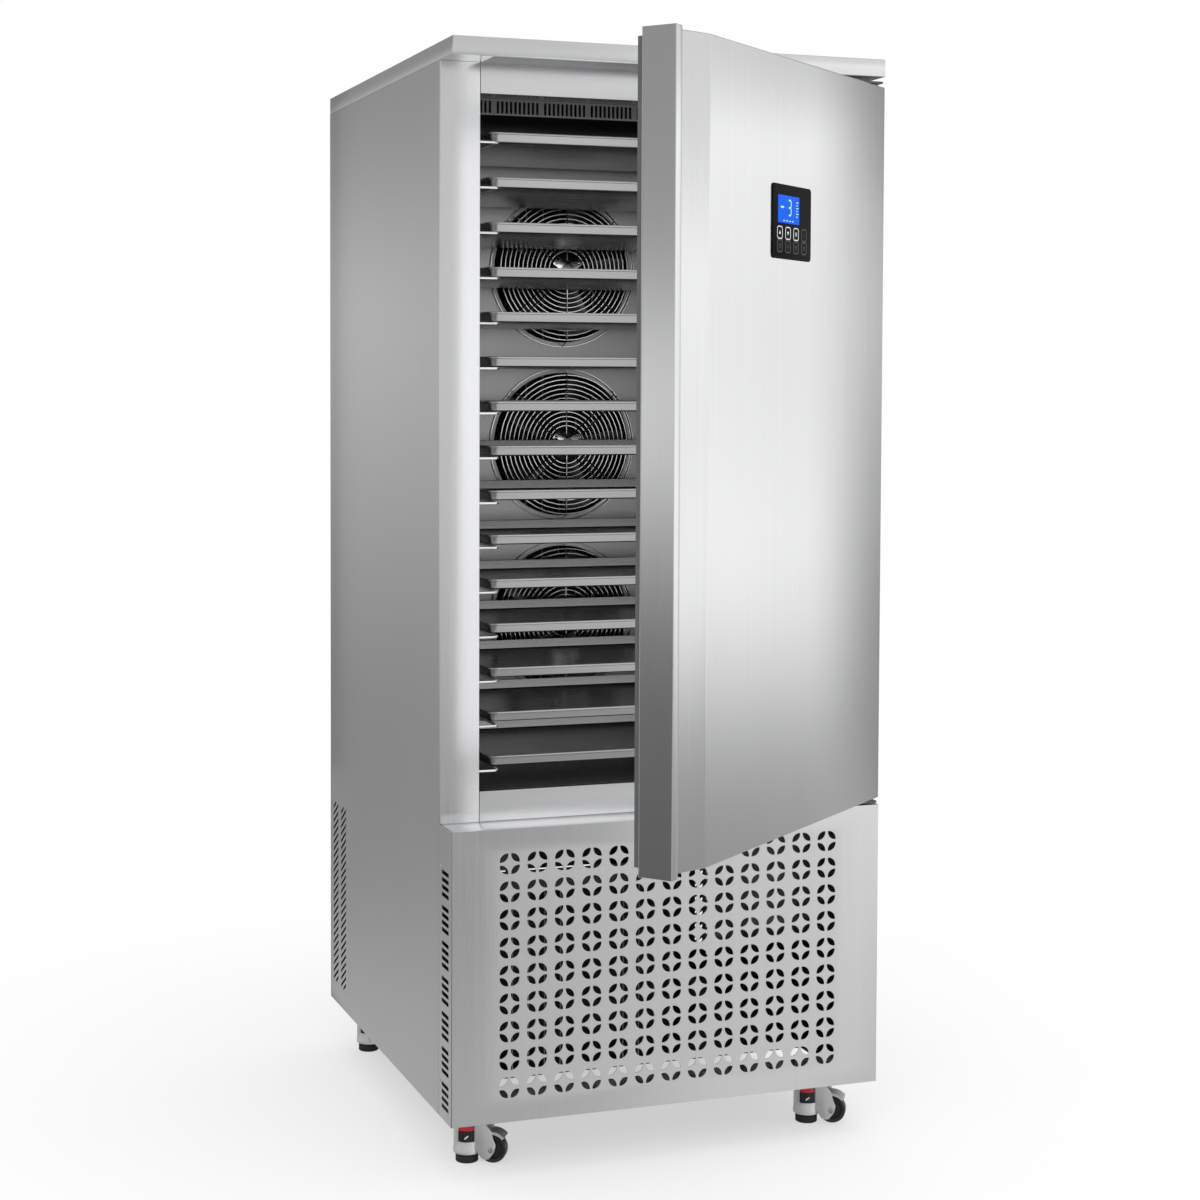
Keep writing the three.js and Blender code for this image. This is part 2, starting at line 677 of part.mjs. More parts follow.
// Two strips on the liner wall, with a U-shaped wire runner under each tray.
function rack(side) {
  const wall = CLEARANCE - OPENING_HALF;
  const leg = RUNNER_UNDERLAP - TRAY_WIDTH / 2;
  const front = RUNNER_FRONT;
  const back = TRAY_SETBACK + TRAY_DEPTH + RUNNER_WIRE;
  const top = rimHeight(0) - TRAY_HEIGHT;
  const strip = (y) =>
    box(wall, wall + RACK_STRIP, y - RACK_STRIP_WIDTH / 2, y + RACK_STRIP_WIDTH / 2,
      CHAMBER_BOTTOM + CLEARANCE, top);
  const runner = outline([
    [wall + 1, front],
    [leg, front],
    [leg, back],
    [wall + 1, back],
    [wall + 1, back - RUNNER_WIRE],
    [leg - RUNNER_WIRE, back - RUNNER_WIRE],
    [leg - RUNNER_WIRE, front + RUNNER_WIRE],
    [wall + 1, front + RUNNER_WIRE],
  ]);
  const runners = Array.from({ length: TRAY_COUNT }, (_, i) => {
    const z = rimHeight(i) - TRAY_HEIGHT - CLEARANCE;
    return plateZ(runner, z - RUNNER_WIRE, z);
  });
  const strips = [strip(front + RUNNER_WIRE / 2), strip(back - RUNNER_WIRE / 2)];
  const wires = join(...strips, ...runners);
  return side < 0 ? wires : mirrored(wires);
}

// Sheet tray with upright walls and a flat rim, drawn with its floor at z = 0.
function tray() {
  const [halfX, halfY] = [TRAY_WIDTH / 2, TRAY_DEPTH / 2];
  const at = (inset, z) => {
    const radius = Math.max(TRAY_CORNER - inset, 1);
    const corners = roundedCorners(halfX - inset, halfY - inset, radius, TRAY_CORNER_STEPS);
    return corners.map(([x, y]) => [x, y, z]);
  };
  return loft([
    at(TRAY_RIM, 0),
    at(TRAY_RIM, TRAY_HEIGHT - TRAY_WALL),
    at(0, TRAY_HEIGHT - TRAY_WALL),
    at(0, TRAY_HEIGHT),
    at(TRAY_RIM + TRAY_WALL, TRAY_HEIGHT),
    at(TRAY_RIM + TRAY_WALL, TRAY_WALL),
  ]);
}

// -------------------------------------------------------- machine compartment

// Welded base: angle rails, corner posts, machine tray and caster plates with kingpins.
function baseFrame() {
  const inside = SIDE - SHEET - CLEARANCE;
  const [front, back] = [CLEARANCE, BACK_INSIDE];
  const floor = BODY_BOTTOM + RAIL_THICKNESS;
  const t = RAIL_THICKNESS;
  const railTop = BODY_BOTTOM + RAIL;
  const postTop = COMPARTMENT_TOP - SHEET - CLEARANCE; // under the front cover's ledge
  const pieces = [
    box(-inside, inside, front, front + RAIL_FOOT, BODY_BOTTOM, floor),
    box(-inside, inside, front, front + t, BODY_BOTTOM, railTop),
    box(-inside, inside, MACHINE_TRAY_FRONT, back, BODY_BOTTOM, floor),
    box(-inside, inside, back - t, back, BODY_BOTTOM, railTop),
  ];
  for (const side of [-1, 1]) {
    const [outer, inner] = [side * inside, side * (inside - t)];
    const x = (a, b) => [Math.min(a, b), Math.max(a, b)];
    const post = side * (inside - POST);
    pieces.push(
      box(...x(outer, side * (inside - RAIL_FOOT)), front, back, BODY_BOTTOM, floor),
      box(...x(outer, inner), front, back, BODY_BOTTOM, railTop),
      box(...x(outer, inner), -POST_REACH, front + POST, BODY_BOTTOM, postTop),
      box(...x(outer, post), front, front + t, BODY_BOTTOM, postTop),
      box(...x(outer, inner), back - POST, back, BODY_BOTTOM, postTop),
      box(...x(outer, post), back - t, back, BODY_BOTTOM, postTop),
    );
  }
  for (const [, x, y] of casterPlaces()) {
    const half = CASTER_PLATE / 2;
    const under = BODY_BOTTOM - CASTER_PLATE_THICKNESS;
    pieces.push(box(x - half, x + half, y - half, y + half, under, floor));
    pieces.push(rod(KINGPIN_RADIUS, x, y, under - KINGPIN_LENGTH, under + 1, 12));
  }
  return join(...pieces);
}

function condenserBox() {
  const x0 = CONDENSER_X - CONDENSER_WIDTH / 2;
  const y0 = MACHINE_TRAY_FRONT;
  return { x0, x1: x0 + CONDENSER_WIDTH, y0, y1: y0 + CONDENSER_DEPTH, z0: MACHINE_FLOOR,
    z1: MACHINE_FLOOR + CONDENSER_HEIGHT };
}

// Fin block, fan shroud, and the motor on its three arms.
function condenser() {
  const { x0, x1, y0, y1, z0, z1 } = condenserBox();
  const back = y1 + SHROUD_DEPTH;
  const middle = (z0 + z1) / 2;
  const hole = rodY(CONDENSER_FAN_RADIUS, CONDENSER_X, middle, y1 + SHEET, back + 1, 24);
  const hollow = box(x0 + SHEET, x1 - SHEET, y1 - FIN / 2, back - SHEET, z0 + SHEET, z1 - SHEET);
  const shroud = cut(box(x0, x1, y1 - FIN / 2, back, z0, z1), hollow, hole);
  const motorFront = back + SHROUD_DEPTH / 2;
  const motorBack = motorFront + CONDENSER_MOTOR_LENGTH;
  const hub = new THREE.Vector3(CONDENSER_X, motorFront + CONDENSER_ARM, middle);
  const arms = [90, 210, 330].map((degrees) => {
    const angle = THREE.MathUtils.degToRad(degrees);
    const reach = CONDENSER_FAN_RADIUS + CONDENSER_ARM;
    const foot = new THREE.Vector3(
      CONDENSER_X + reach * Math.cos(angle), back - SHEET / 2, middle + reach * Math.sin(angle));
    return bar(hub, foot, CONDENSER_ARM);
  });
  return join(
    finPack(x0, x1, y0, y1, z0, z1, CONDENSER_FINS),
    shroud,
    ...arms,
    rodY(CONDENSER_MOTOR_RADIUS, CONDENSER_X, middle, motorFront, motorBack, 12),
    rodY(SHAFT_RADIUS, CONDENSER_X, middle, back - SHROUD_DEPTH / 2, motorFront + 1, 8),
  );
}

// Welded steel can on rubber feet, with its suction and discharge pipes.
function compressor() {
  const [x, y] = [COMPRESSOR_X, COMPRESSOR_Y];
  const z0 = MACHINE_FLOOR + COMPRESSOR_FOOT;
  const z1 = z0 + COMPRESSOR_HEIGHT;
  const [r, w, dome] = [COMPRESSOR_RADIUS, COMPRESSOR_WALL, COMPRESSOR_RADIUS / 3];
  const [drain, neck, h] = [PIPE_RADIUS / 2, r * COMPRESSOR_NECK, COMPRESSOR_HEIGHT];
  const can = turned([
    [drain, 0], [neck, 0], [r, dome], [r, h - dome], [neck, h], [0, h],
    [0, h - w], [neck - w / 2, h - w], [r - w, h - dome], [r - w, dome], [neck - w / 2, w],
    [drain, w], [drain, 0],
  ], 12).rotateX(Math.PI / 2).translate(x, y, z0);
  const feet = [[-1, -1], [1, -1], [1, 1], [-1, 1]].map(([sx, sy]) =>
    rod(COMPRESSOR_FOOT / 2, x + sx * r, y + sy * r, MACHINE_FLOOR, z0 + w / 2, 6));
  const reach = r + COMPRESSOR_FOOT / 2;
  const base = cut(
    box(x - reach, x + reach, y - reach, y + reach, z0, z0 + w),
    rod(neck / 2, x, y, z0 - 1, z0 + w + 1, 8),
  );
  const { width, height, proud, z } = TERMINALS;
  const terminals = box(x - r - proud, x - r + w / 2, y - width / 2, y + width / 2,
    z0 + z, z0 + z + height);
  const { x1, y0, y1, z1: coilTop } = condenserBox();
  const suctionTop = z1 + SUCTION_RISE;
  const suction = pipe([
    [x, y, z1 - w], [x, y, suctionTop], [x, y + SUCTION_SHIFT, suctionTop + SUCTION_RISE / 2],
    [x, y + SUCTION_SHIFT, COMPARTMENT_TOP - CLEARANCE],
  ]);
  const [out, inlet] = [z1 - DISCHARGE_DROP, coilTop - CONDENSER_INLET_DROP];
  const discharge = pipe([
    [x, y - r + w, out], [x, y - r - DISCHARGE_REACH, out],
    [x1 + CONDENSER_INLET_RUN, (y0 + y1) / 2, inlet], [x1 + CLEARANCE, (y0 + y1) / 2, inlet],
  ]);
  return join(can, ...feet, base, terminals, suction, discharge);
}

// A bent pipe: straight runs that reach into one another at each bend.
function pipe(points) {
  const stops = points.map((point) => new THREE.Vector3(...point));
  const runs = stops.slice(1).map((stop, i) => {
    const along = new THREE.Vector3().subVectors(stop, stops[i]);
    const start = i === 0 ? 0 : PIPE_RADIUS / 2;
    const end = i + 2 === stops.length ? 0 : PIPE_RADIUS / 2;
    const run = new THREE.CylinderGeometry(PIPE_RADIUS, PIPE_RADIUS, along.length() + start + end, 6);
    run.translate(0, (end - start) / 2, 0);
    const turn = new THREE.Quaternion();
    run.applyQuaternion(turn.setFromUnitVectors(new THREE.Vector3(0, 1, 0), along.normalize()));
    return run.translate(...new THREE.Vector3().addVectors(stops[i], stop).multiplyScalar(0.5));
  });
  return join(...runs);
}

// Electrical box on the inside of the left side panel, open towards the back for its cables.
function controlBox() {
  const { width, depth, height, wall, y, z } = CONTROL_BOX;
  const x0 = SHEET + CLEARANCE - SIDE;
  return cut(
    box(x0, x0 + width, y, y + depth, z, z + height),
    box(x0 + wall, x0 + width - wall, y + wall, y + depth + 1, z + wall, z + height - wall),
  );
}

// Front cover: a folded pan, open behind and below, with a perforated face and slotted sides.
function frontCover() {
  const [z0, z1] = [BODY_BOTTOM, COMPARTMENT_TOP];
  const middle = (z0 + z1) / 2;
  const holes = [];
  for (let row = 0; row < CLOVER_ROWS; row++)
    for (let column = 0; column < CLOVER_COLUMNS; column++) {
      const x = (column - (CLOVER_COLUMNS - 1) / 2) * CLOVER_PITCH_X;
      const z = middle + (row - (CLOVER_ROWS - 1) / 2) * CLOVER_PITCH_Z;
      const clover = outline(circle(CLOVER_RADIUS, x, z, 4));
      holes.push(plateY(clover, -OVERHANG - SHEET, 2 * SHEET - OVERHANG));
    }
  for (let group = 0; group < COVER_SLOT_GROUPS; group++)
    for (let i = 0; i < COVER_SLOTS; i++) {
      const start = z0 + COVER_SLOT_START + group * COVER_GROUP_PITCH;
      const z = start + (i - (COVER_SLOTS - 1) / 2) * COVER_SLOT_PITCH;
      const slot = slantedSlot(-OVERHANG / 2, z, { ...COVER_SLOT, rise: -COVER_SLOT.rise });
      holes.push(plateX(outline(slot), -SIDE - SHEET, SIDE + SHEET));
    }
  return cut(
    box(-SIDE, SIDE, -OVERHANG, -CLEARANCE, z0, z1),
    box(SHEET - SIDE, SIDE - SHEET, SHEET - OVERHANG, SHEET, z0 - SHEET, z1 - SHEET),
    ...holes,
  );
}

// ----------------------------------------------------------------------- door

// Everything on the door is drawn shut, with the hinge axis at x = y = 0.
const HINGE_EDGE = DOOR_RIGHT - PIVOT_X;
const FREE = DOOR_LEFT - PIVOT_X;
const FACE = DOOR_FACE - PIVOT_Y;
const INNER = DOOR_BACK - PIVOT_Y;

// The door's outline from above, drawn in by an inset, with the grip recess at the free edge.
function doorSection(inset, back) {
  const lip = FREE + GRIP_LIP - inset;
  return outline([
    [HINGE_EDGE - inset, FACE + inset],
    [HINGE_EDGE - inset, back],
    [FREE + inset, back],
    [FREE + inset, FACE + inset],
    [lip, FACE + inset],
    [lip + GRIP_UNDERCUT, FACE + GRIP_DEPTH + inset],
    [FREE + GRIP_WIDTH, FACE + inset],
  ]);
}

function hingeBores() {
  const radius = PIVOT_RADIUS + PIVOT_CLEARANCE;
  return [
    rod(radius, 0, 0, DOOR_BOTTOM - 1, DOOR_BOTTOM + PIVOT_DEPTH + 2, 12),
    rod(radius, 0, 0, DOOR_TOP - PIVOT_DEPTH - 2, DOOR_TOP + 1, 12),
  ];
}

function displayMiddle() {
  return [HINGE_EDGE - DISPLAY_FROM_HINGE_EDGE, DOOR_TOP - DISPLAY_FROM_TOP];
}

function displayPocket(clearance) {
  const [x, z] = displayMiddle();
  const halfX = DISPLAY_WIDTH / 2 - DISPLAY_BOX_MARGIN + clearance;
  const halfZ = DISPLAY_HEIGHT / 2 - DISPLAY_BOX_MARGIN + clearance;
  const depth = DISPLAY_BOX_DEPTH + clearance;
  return box(x - halfX, x + halfX, FACE - DISPLAY_PROUD / 2, FACE + depth, z - halfZ, z + halfZ);
}

function doorShell() {
  const flange = INNER - SHEET - CLEARANCE;
  return cut(
    plateZ(doorSection(0, flange), DOOR_BOTTOM, DOOR_TOP),
    plateZ(doorSection(SHEET, flange + 1), DOOR_BOTTOM + SHEET, DOOR_TOP - SHEET),
    ...hingeBores(),
    displayPocket(CLEARANCE),
  );
}

function doorCore() {
  const inset = SHEET + CLEARANCE;
  const section = doorSection(inset, INNER - SHEET - CLEARANCE);
  return cut(
    plateZ(section, DOOR_BOTTOM + inset, DOOR_TOP - inset),
    ...hingeBores(),
    displayPocket(CLEARANCE),
  );
}

function doorInnerSkin() {
  return box(FREE, HINGE_EDGE, INNER - SHEET, INNER, DOOR_BOTTOM, DOOR_TOP);
}

function doorGasket() {
  const half = PIVOT_X - HINGE_MARGIN;
  const [z0, z1] = [DOOR_BOTTOM + GASKET_MARGIN, DOOR_TOP - GASKET_MARGIN];
  const w = GASKET_WIDTH;
  const [x0, x1] = [-half - PIVOT_X, half - PIVOT_X];
  const depths = [INNER + CLEARANCE, -PIVOT_Y - GASKET_FACE_GAP];
  return piercedY([x0, x1], depths, [z0, z1], [rectangle(x0 + w, x1 - w, z0 + w, z1 - w)]);
}

function controlPanel() {
  const [x, z] = displayMiddle();
  const halves = [DISPLAY_WIDTH / 2, DISPLAY_HEIGHT / 2];
  const bezel = roundedCorners(...halves, DISPLAY_CORNER, 2).map(([u, v]) => [x + u, z + v]);
  return join(plateY(outline(bezel), FACE - DISPLAY_PROUD, FACE - CLEARANCE), displayPocket(0));
}

// Bracket screwed to the front frame, with the pin that enters the door's end.
function hinge(atTop) {
  const [x0, x1] = [PIVOT_X - HINGE_WIDTH + PIVOT_FROM_SIDE, SIDE - DOOR_SIDE_MARGIN];
  const plate = atTop ? DOOR_TOP + DOOR_TOP_GAP / 3 : COMPARTMENT_TOP + HINGE_MARGIN;
  const upright = atTop
    ? [DOOR_TOP + HINGE_MARGIN, WORKTOP_UNDERSIDE - HINGE_MARGIN]
    : [COMPARTMENT_TOP + HINGE_MARGIN / 2, DOOR_BOTTOM - HINGE_MARGIN / 2];
  const pin = atTop
    ? rod(PIVOT_RADIUS, PIVOT_X, PIVOT_Y, DOOR_TOP - PIVOT_DEPTH, plate + 1, 12)
    : join(
      rod(PIVOT_RADIUS * 1.5, PIVOT_X, PIVOT_Y, plate, DOOR_BOTTOM - CLEARANCE, 12),
      rod(PIVOT_RADIUS, PIVOT_X, PIVOT_Y, plate, DOOR_BOTTOM + PIVOT_DEPTH, 12),
    );
  return join(
    box(x0, x1, PIVOT_Y - HINGE_ARM, -CLEARANCE, plate, plate + HINGE_PLATE),
    box(x0, x1, -HINGE_PLATE - CLEARANCE, -CLEARANCE, ...upright),
    pin,
  );
}

// -------------------------------------------------------------------- casters

function casterPlaces() {
  return [
    ["front_left", CASTER_LEFT, CASTER_FRONT],
    ["front_right", CASTER_RIGHT, CASTER_FRONT],
    ["back_left", CASTER_LEFT, CASTER_BACK],
    ["back_right", CASTER_RIGHT, CASTER_BACK],
  ];
}

const WHEEL_Z = WHEEL_RADIUS + WHEEL_LIFT;

// Die-cast housing, drawn with the swivel axis at x = y = 0 and the wheel towards +X.
function casterHousing() {
  const top = CASTER_HEIGHT - CASTER_PLATE_THICKNESS - CLEARANCE;
  const half = ARM_WIDTH / 2;
  const front = CASTER_TRAIL + WHEEL_RADIUS * 0.75;
  const brow = WHEEL_Z + HOOD.brow;
  const hood = outline([
    [0, WHEEL_Z],
    [CASTER_TRAIL - HOOD.toe, HOOD.toeLift],
    [CASTER_TRAIL - HOOD.heel, HOOD.toeLift],
    [CASTER_TRAIL, WHEEL_Z - HOOD.cheek],
    [CASTER_TRAIL + HOOD.heel, brow - HOOD.cheek],
    [front, brow],
    [front, brow + HOOD.browDepth],
    [CASTER_TRAIL + HOOD.heel, WHEEL_Z + WHEEL_RADIUS + HOOD.brow],
    [CASTER_TRAIL - HOOD.nape, top - HOOD.drop],
    [0, top - HOOD.drop],
  ]);
  const slot = half - (WHEEL_WIDTH + WHEEL_GAP) / 2;
  const [y0, y1] = [slot - half, half - slot];
  const padTop = PAD_HEIGHT + PAD_TRAVEL_UP + WHEEL_GAP;
  return cut(
    join(
      rod(HOUSING_RADIUS, 0, 0, HOUSING_BOTTOM, top, 16),
      plateY(hood, -half, half),
    ),
    rodY(WHEEL_RADIUS + WHEEL_GAP, CASTER_TRAIL, WHEEL_Z, y0, y1, 16),
    box(CASTER_TRAIL, CASTER_TRAIL + 2 * WHEEL_RADIUS, y0, y1, 0, brow),
    rod(KINGPIN_RADIUS + BORE_CLEARANCE, 0, 0, top - KINGPIN_LENGTH - 1, top + 1, 12),
    rod(STEM_RADIUS + BORE_CLEARANCE, 0, 0, 0, padTop + STEM_LENGTH, 8),
    rod(PAD_RADIUS + PAD_RECESS_CLEARANCE, 0, 0, 0, padTop, 12),
  );
}

function casterAxle() {
  return rodY(AXLE_RADIUS, CASTER_TRAIL, WHEEL_Z, -ARM_WIDTH / 2, ARM_WIDTH / 2, 8);
}

function casterWheel() {
  const [r, bore, half] = [WHEEL_RADIUS, AXLE_RADIUS + BORE_CLEARANCE, WHEEL_WIDTH / 2];
  const edge = WHEEL_WIDTH / 8;
  const profile = [[bore, -half], [r - edge, -half], [r, edge - half], [r, half - edge],
    [r - edge, half], [bore, half], [bore, -half]];
  return turned(profile, 16).translate(CASTER_TRAIL, 0, WHEEL_Z);
}

function casterPad() {
  const r = PAD_RADIUS;
  const profile = [[0, 0], [r, 0], [r, PAD_HEIGHT - PAD_EDGE], [r - PAD_EDGE, PAD_HEIGHT],
    [STEM_RADIUS, PAD_HEIGHT], [STEM_RADIUS, PAD_HEIGHT + STEM_LENGTH],
    [0, PAD_HEIGHT + STEM_LENGTH]];
  return turned(profile, 12).rotateX(Math.PI / 2);
}

// ------------------------------------------------------------------- assembly

const chiller = new THREE.Group();
const cabinet = groupAt(chiller, 0, FRAME_Y, 0);

function addCabinet() {
  const { brushedSteel, darkSteel, foam, galvanised } = MATERIALS;
  piece(cabinet, "base_frame", baseFrame(), galvanised);
  piece(cabinet, "left_side_panel", sidePanel(-1), brushedSteel);
  piece(cabinet, "right_side_panel", sidePanel(1), brushedSteel);
  piece(cabinet, "back_panel", backPanel(), galvanised);
  piece(cabinet, "rear_cover", rearCover(), galvanised);
  piece(cabinet, "worktop", worktop(), brushedSteel);
  piece(cabinet, "top_rail", topRail(), brushedSteel);
  piece(cabinet, "bottom_rail", bottomRail(), brushedSteel);
  piece(cabinet, "insulation", insulation(), foam);
  piece(cabinet, "liner", liner(), darkSteel);
  piece(cabinet, "front_cover", frontCover(), brushedSteel);
}

function addChamber() {
  const { darkSteel, chromeWire, traySteel, finAluminium, blackPaint } = MATERIALS;
  piece(cabinet, "air_duct", airDuct(), darkSteel);
  piece(cabinet, "fan_plate", fanPlate(), darkSteel);
  fanHeights().forEach((z, i) => {
    const fan = groupAt(cabinet, 0, FAN_PLATE_Y, z);
    piece(fan, `fan_guard_${i + 1}`, fanGuard(), blackPaint);
    const rotor = fanRotor(FAN_OPENING - ROTOR_CLEARANCE, ROTOR_HUB_LENGTH);
    const mesh = piece(fan, `fan_rotor_${i + 1}`, rotor, darkSteel);
    mesh.position.y = -GUARD_WIRE + CLEARANCE;
  });
  piece(cabinet, "evaporator", evaporator(), finAluminium);
  piece(cabinet, "left_rack", rack(-1), chromeWire);
  piece(cabinet, "right_rack", rack(1), chromeWire);
  for (let i = 0; i < TRAY_COUNT; i++) {
    const mesh = piece(cabinet, `tray_${String(i + 1).padStart(2, "0")}`, tray(), traySteel);
    mesh.position.set(0, TRAY_SETBACK + TRAY_DEPTH / 2, rimHeight(i) - TRAY_HEIGHT);
  }
}

function addMachinery() {
  const { blackPaint, finAluminium, darkSteel, galvanised } = MATERIALS;
  piece(cabinet, "compressor", compressor(), blackPaint);
  piece(cabinet, "condenser", condenser(), finAluminium);
  const rotor = fanRotor(CONDENSER_FAN_RADIUS - ROTOR_CLEARANCE, ROTOR_HUB_LENGTH);
  const { y1, z0, z1 } = condenserBox();
  const mesh = piece(cabinet, "condenser_rotor", rotor, darkSteel);
  mesh.position.set(CONDENSER_X, y1 + SHROUD_DEPTH - ROTOR_HUB_LENGTH, (z0 + z1) / 2);
  piece(cabinet, "control_box", controlBox(), galvanised);
}

function addDoor() {
  const { brushedSteel, foam, greyRubber, blackPaint, blackPlastic } = MATERIALS;
  piece(cabinet, "top_hinge", hinge(true), blackPaint);
  piece(cabinet, "bottom_hinge", hinge(false), blackPaint);
  const door = groupAt(cabinet, PIVOT_X, PIVOT_Y, 0);
  door.rotation.z = OPEN;
  piece(door, "door_shell", doorShell(), brushedSteel);
  piece(door, "door_core", doorCore(), foam);
  piece(door, "door_inner_skin", doorInnerSkin(), brushedSteel);
  piece(door, "door_gasket", doorGasket(), greyRubber);
  piece(door, "control_panel", controlPanel(), blackPlastic);
}

function addCasters() {
  const { castAluminium, blackNylon, blackRubber } = MATERIALS;
  for (const [place, x, y] of casterPlaces()) {
    const caster = groupAt(cabinet, x, y, 0);
    caster.rotation.z = THREE.MathUtils.degToRad(CASTER_TURN);
    piece(caster, `caster_housing_${place}`, join(casterHousing(), casterAxle()), castAluminium);
    piece(caster, `caster_wheel_${place}`, casterWheel(), blackNylon);
    piece(caster, `foot_pad_${place}`, casterPad(), blackRubber);
  }
}

addCabinet();
addChamber();
addMachinery();
addDoor();
addCasters();

export default chiller;
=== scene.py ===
"""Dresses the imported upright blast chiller: its studio, its finishes and its fine pieces."""
import logging
import math
from dataclasses import dataclass, field
from enum import Enum
from typing import Callable, Iterable, Sequence

import bmesh
import bpy
from bmesh.types import BMEdge, BMFace, BMVert
from mathutils import Matrix, Vector


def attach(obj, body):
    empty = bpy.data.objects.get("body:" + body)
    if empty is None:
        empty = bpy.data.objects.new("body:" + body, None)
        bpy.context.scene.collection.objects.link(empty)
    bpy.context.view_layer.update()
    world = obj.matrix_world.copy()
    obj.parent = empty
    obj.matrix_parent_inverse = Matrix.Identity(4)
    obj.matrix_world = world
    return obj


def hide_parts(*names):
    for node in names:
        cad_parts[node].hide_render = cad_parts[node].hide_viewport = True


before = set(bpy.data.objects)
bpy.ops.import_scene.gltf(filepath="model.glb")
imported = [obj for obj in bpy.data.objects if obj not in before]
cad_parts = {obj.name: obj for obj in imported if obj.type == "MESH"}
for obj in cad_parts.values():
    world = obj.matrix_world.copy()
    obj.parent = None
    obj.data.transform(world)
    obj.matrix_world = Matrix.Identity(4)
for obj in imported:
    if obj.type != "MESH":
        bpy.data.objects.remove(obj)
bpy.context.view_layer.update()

LOG = logging.getLogger("blast_chiller")

MM = 0.001
X, Y, Z = Vector((1, 0, 0)), Vector((0, 1, 0)), Vector((0, 0, 1))
# What is drawn along Z, turned to point out of the cabinet's front or into its depth.
FORWARD, BACKWARD = (Matrix.Rotation(turn, 4, "X") for turn in (math.pi / 2, -math.pi / 2))

# The cabinet is drawn in millimetres with y = 0 on its door frame, the door shut with its
# hinge axis at x = y = 0, and each caster with its swivel axis at x = y = 0.
CABINET = Matrix.Translation((0, -109, 0))
DOOR = CABINET @ Matrix.Translation((386.5, -58, 0)) @ Matrix.Rotation(math.radians(39.6), 4, "Z")
SIDE = 400.0
OPENING_HALF = 328.0
SHEET = 1.2
GAP = 0.3
BODY_BOTTOM, COMPARTMENT_TOP = 95.0, 597.0
CHAMBER_BOTTOM, CHAMBER_TOP = 649.0, 1840.0
WORKTOP_UNDERSIDE = 1892.0
FAN_PLATE = 500.0
FAN_HEIGHTS = (1571.0, 1231.0, 891.0)

Place = tuple[float, float, float]
Flat = tuple[float, float]


# ------------------------------------------------------------------ shader maths


class Signal:
    """A socket of a node tree; Python's operators on it add Math nodes."""

    def __init__(self, bench: "Bench", socket: bpy.types.NodeSocket) -> None:
        """Keeps the socket and the tree it belongs to."""
        self.bench = bench
        self.socket = socket

    def math(self, operation: str, *operands: "Signal | float", clamp: bool = False) -> "Signal":
        """Adds one Math node."""
        settings = {"operation": operation, "use_clamp": clamp}
        return self.bench.add("ShaderNodeMath", settings, dict(enumerate(operands)))

    def __add__(self, other: "Signal | float") -> "Signal":
        """Sum."""
        return self.math("ADD", self, other)

    def __radd__(self, other: float) -> "Signal":
        """Sum, reflected."""
        return self.math("ADD", other, self)

    def __sub__(self, other: "Signal | float") -> "Signal":
        """Difference."""
        return self.math("SUBTRACT", self, other)

    def __rsub__(self, other: float) -> "Signal":
        """Difference, reflected."""
        return self.math("SUBTRACT", other, self)

    def __mul__(self, other: "Signal | float") -> "Signal":
        """Product."""
        return self.math("MULTIPLY", self, other)

    def __rmul__(self, other: float) -> "Signal":
        """Product, reflected."""
        return self.math("MULTIPLY", other, self)

    def __truediv__(self, other: "Signal | float") -> "Signal":
        """Quotient."""
        return self.math("DIVIDE", self, other)

    def between(self, low: float, high: float) -> "Signal":
        """A smooth step.

        Args:
            low: Where the result is 0.
            high: Where the result is 1.

        Returns:
            The step, held between 0 and 1.
        """
        settings = {"interpolation_type": "SMOOTHSTEP"}
        inputs = {"Value": self, "From Min": low, "From Max": high}
        return self.bench.add("ShaderNodeMapRange", settings, inputs, "Result")


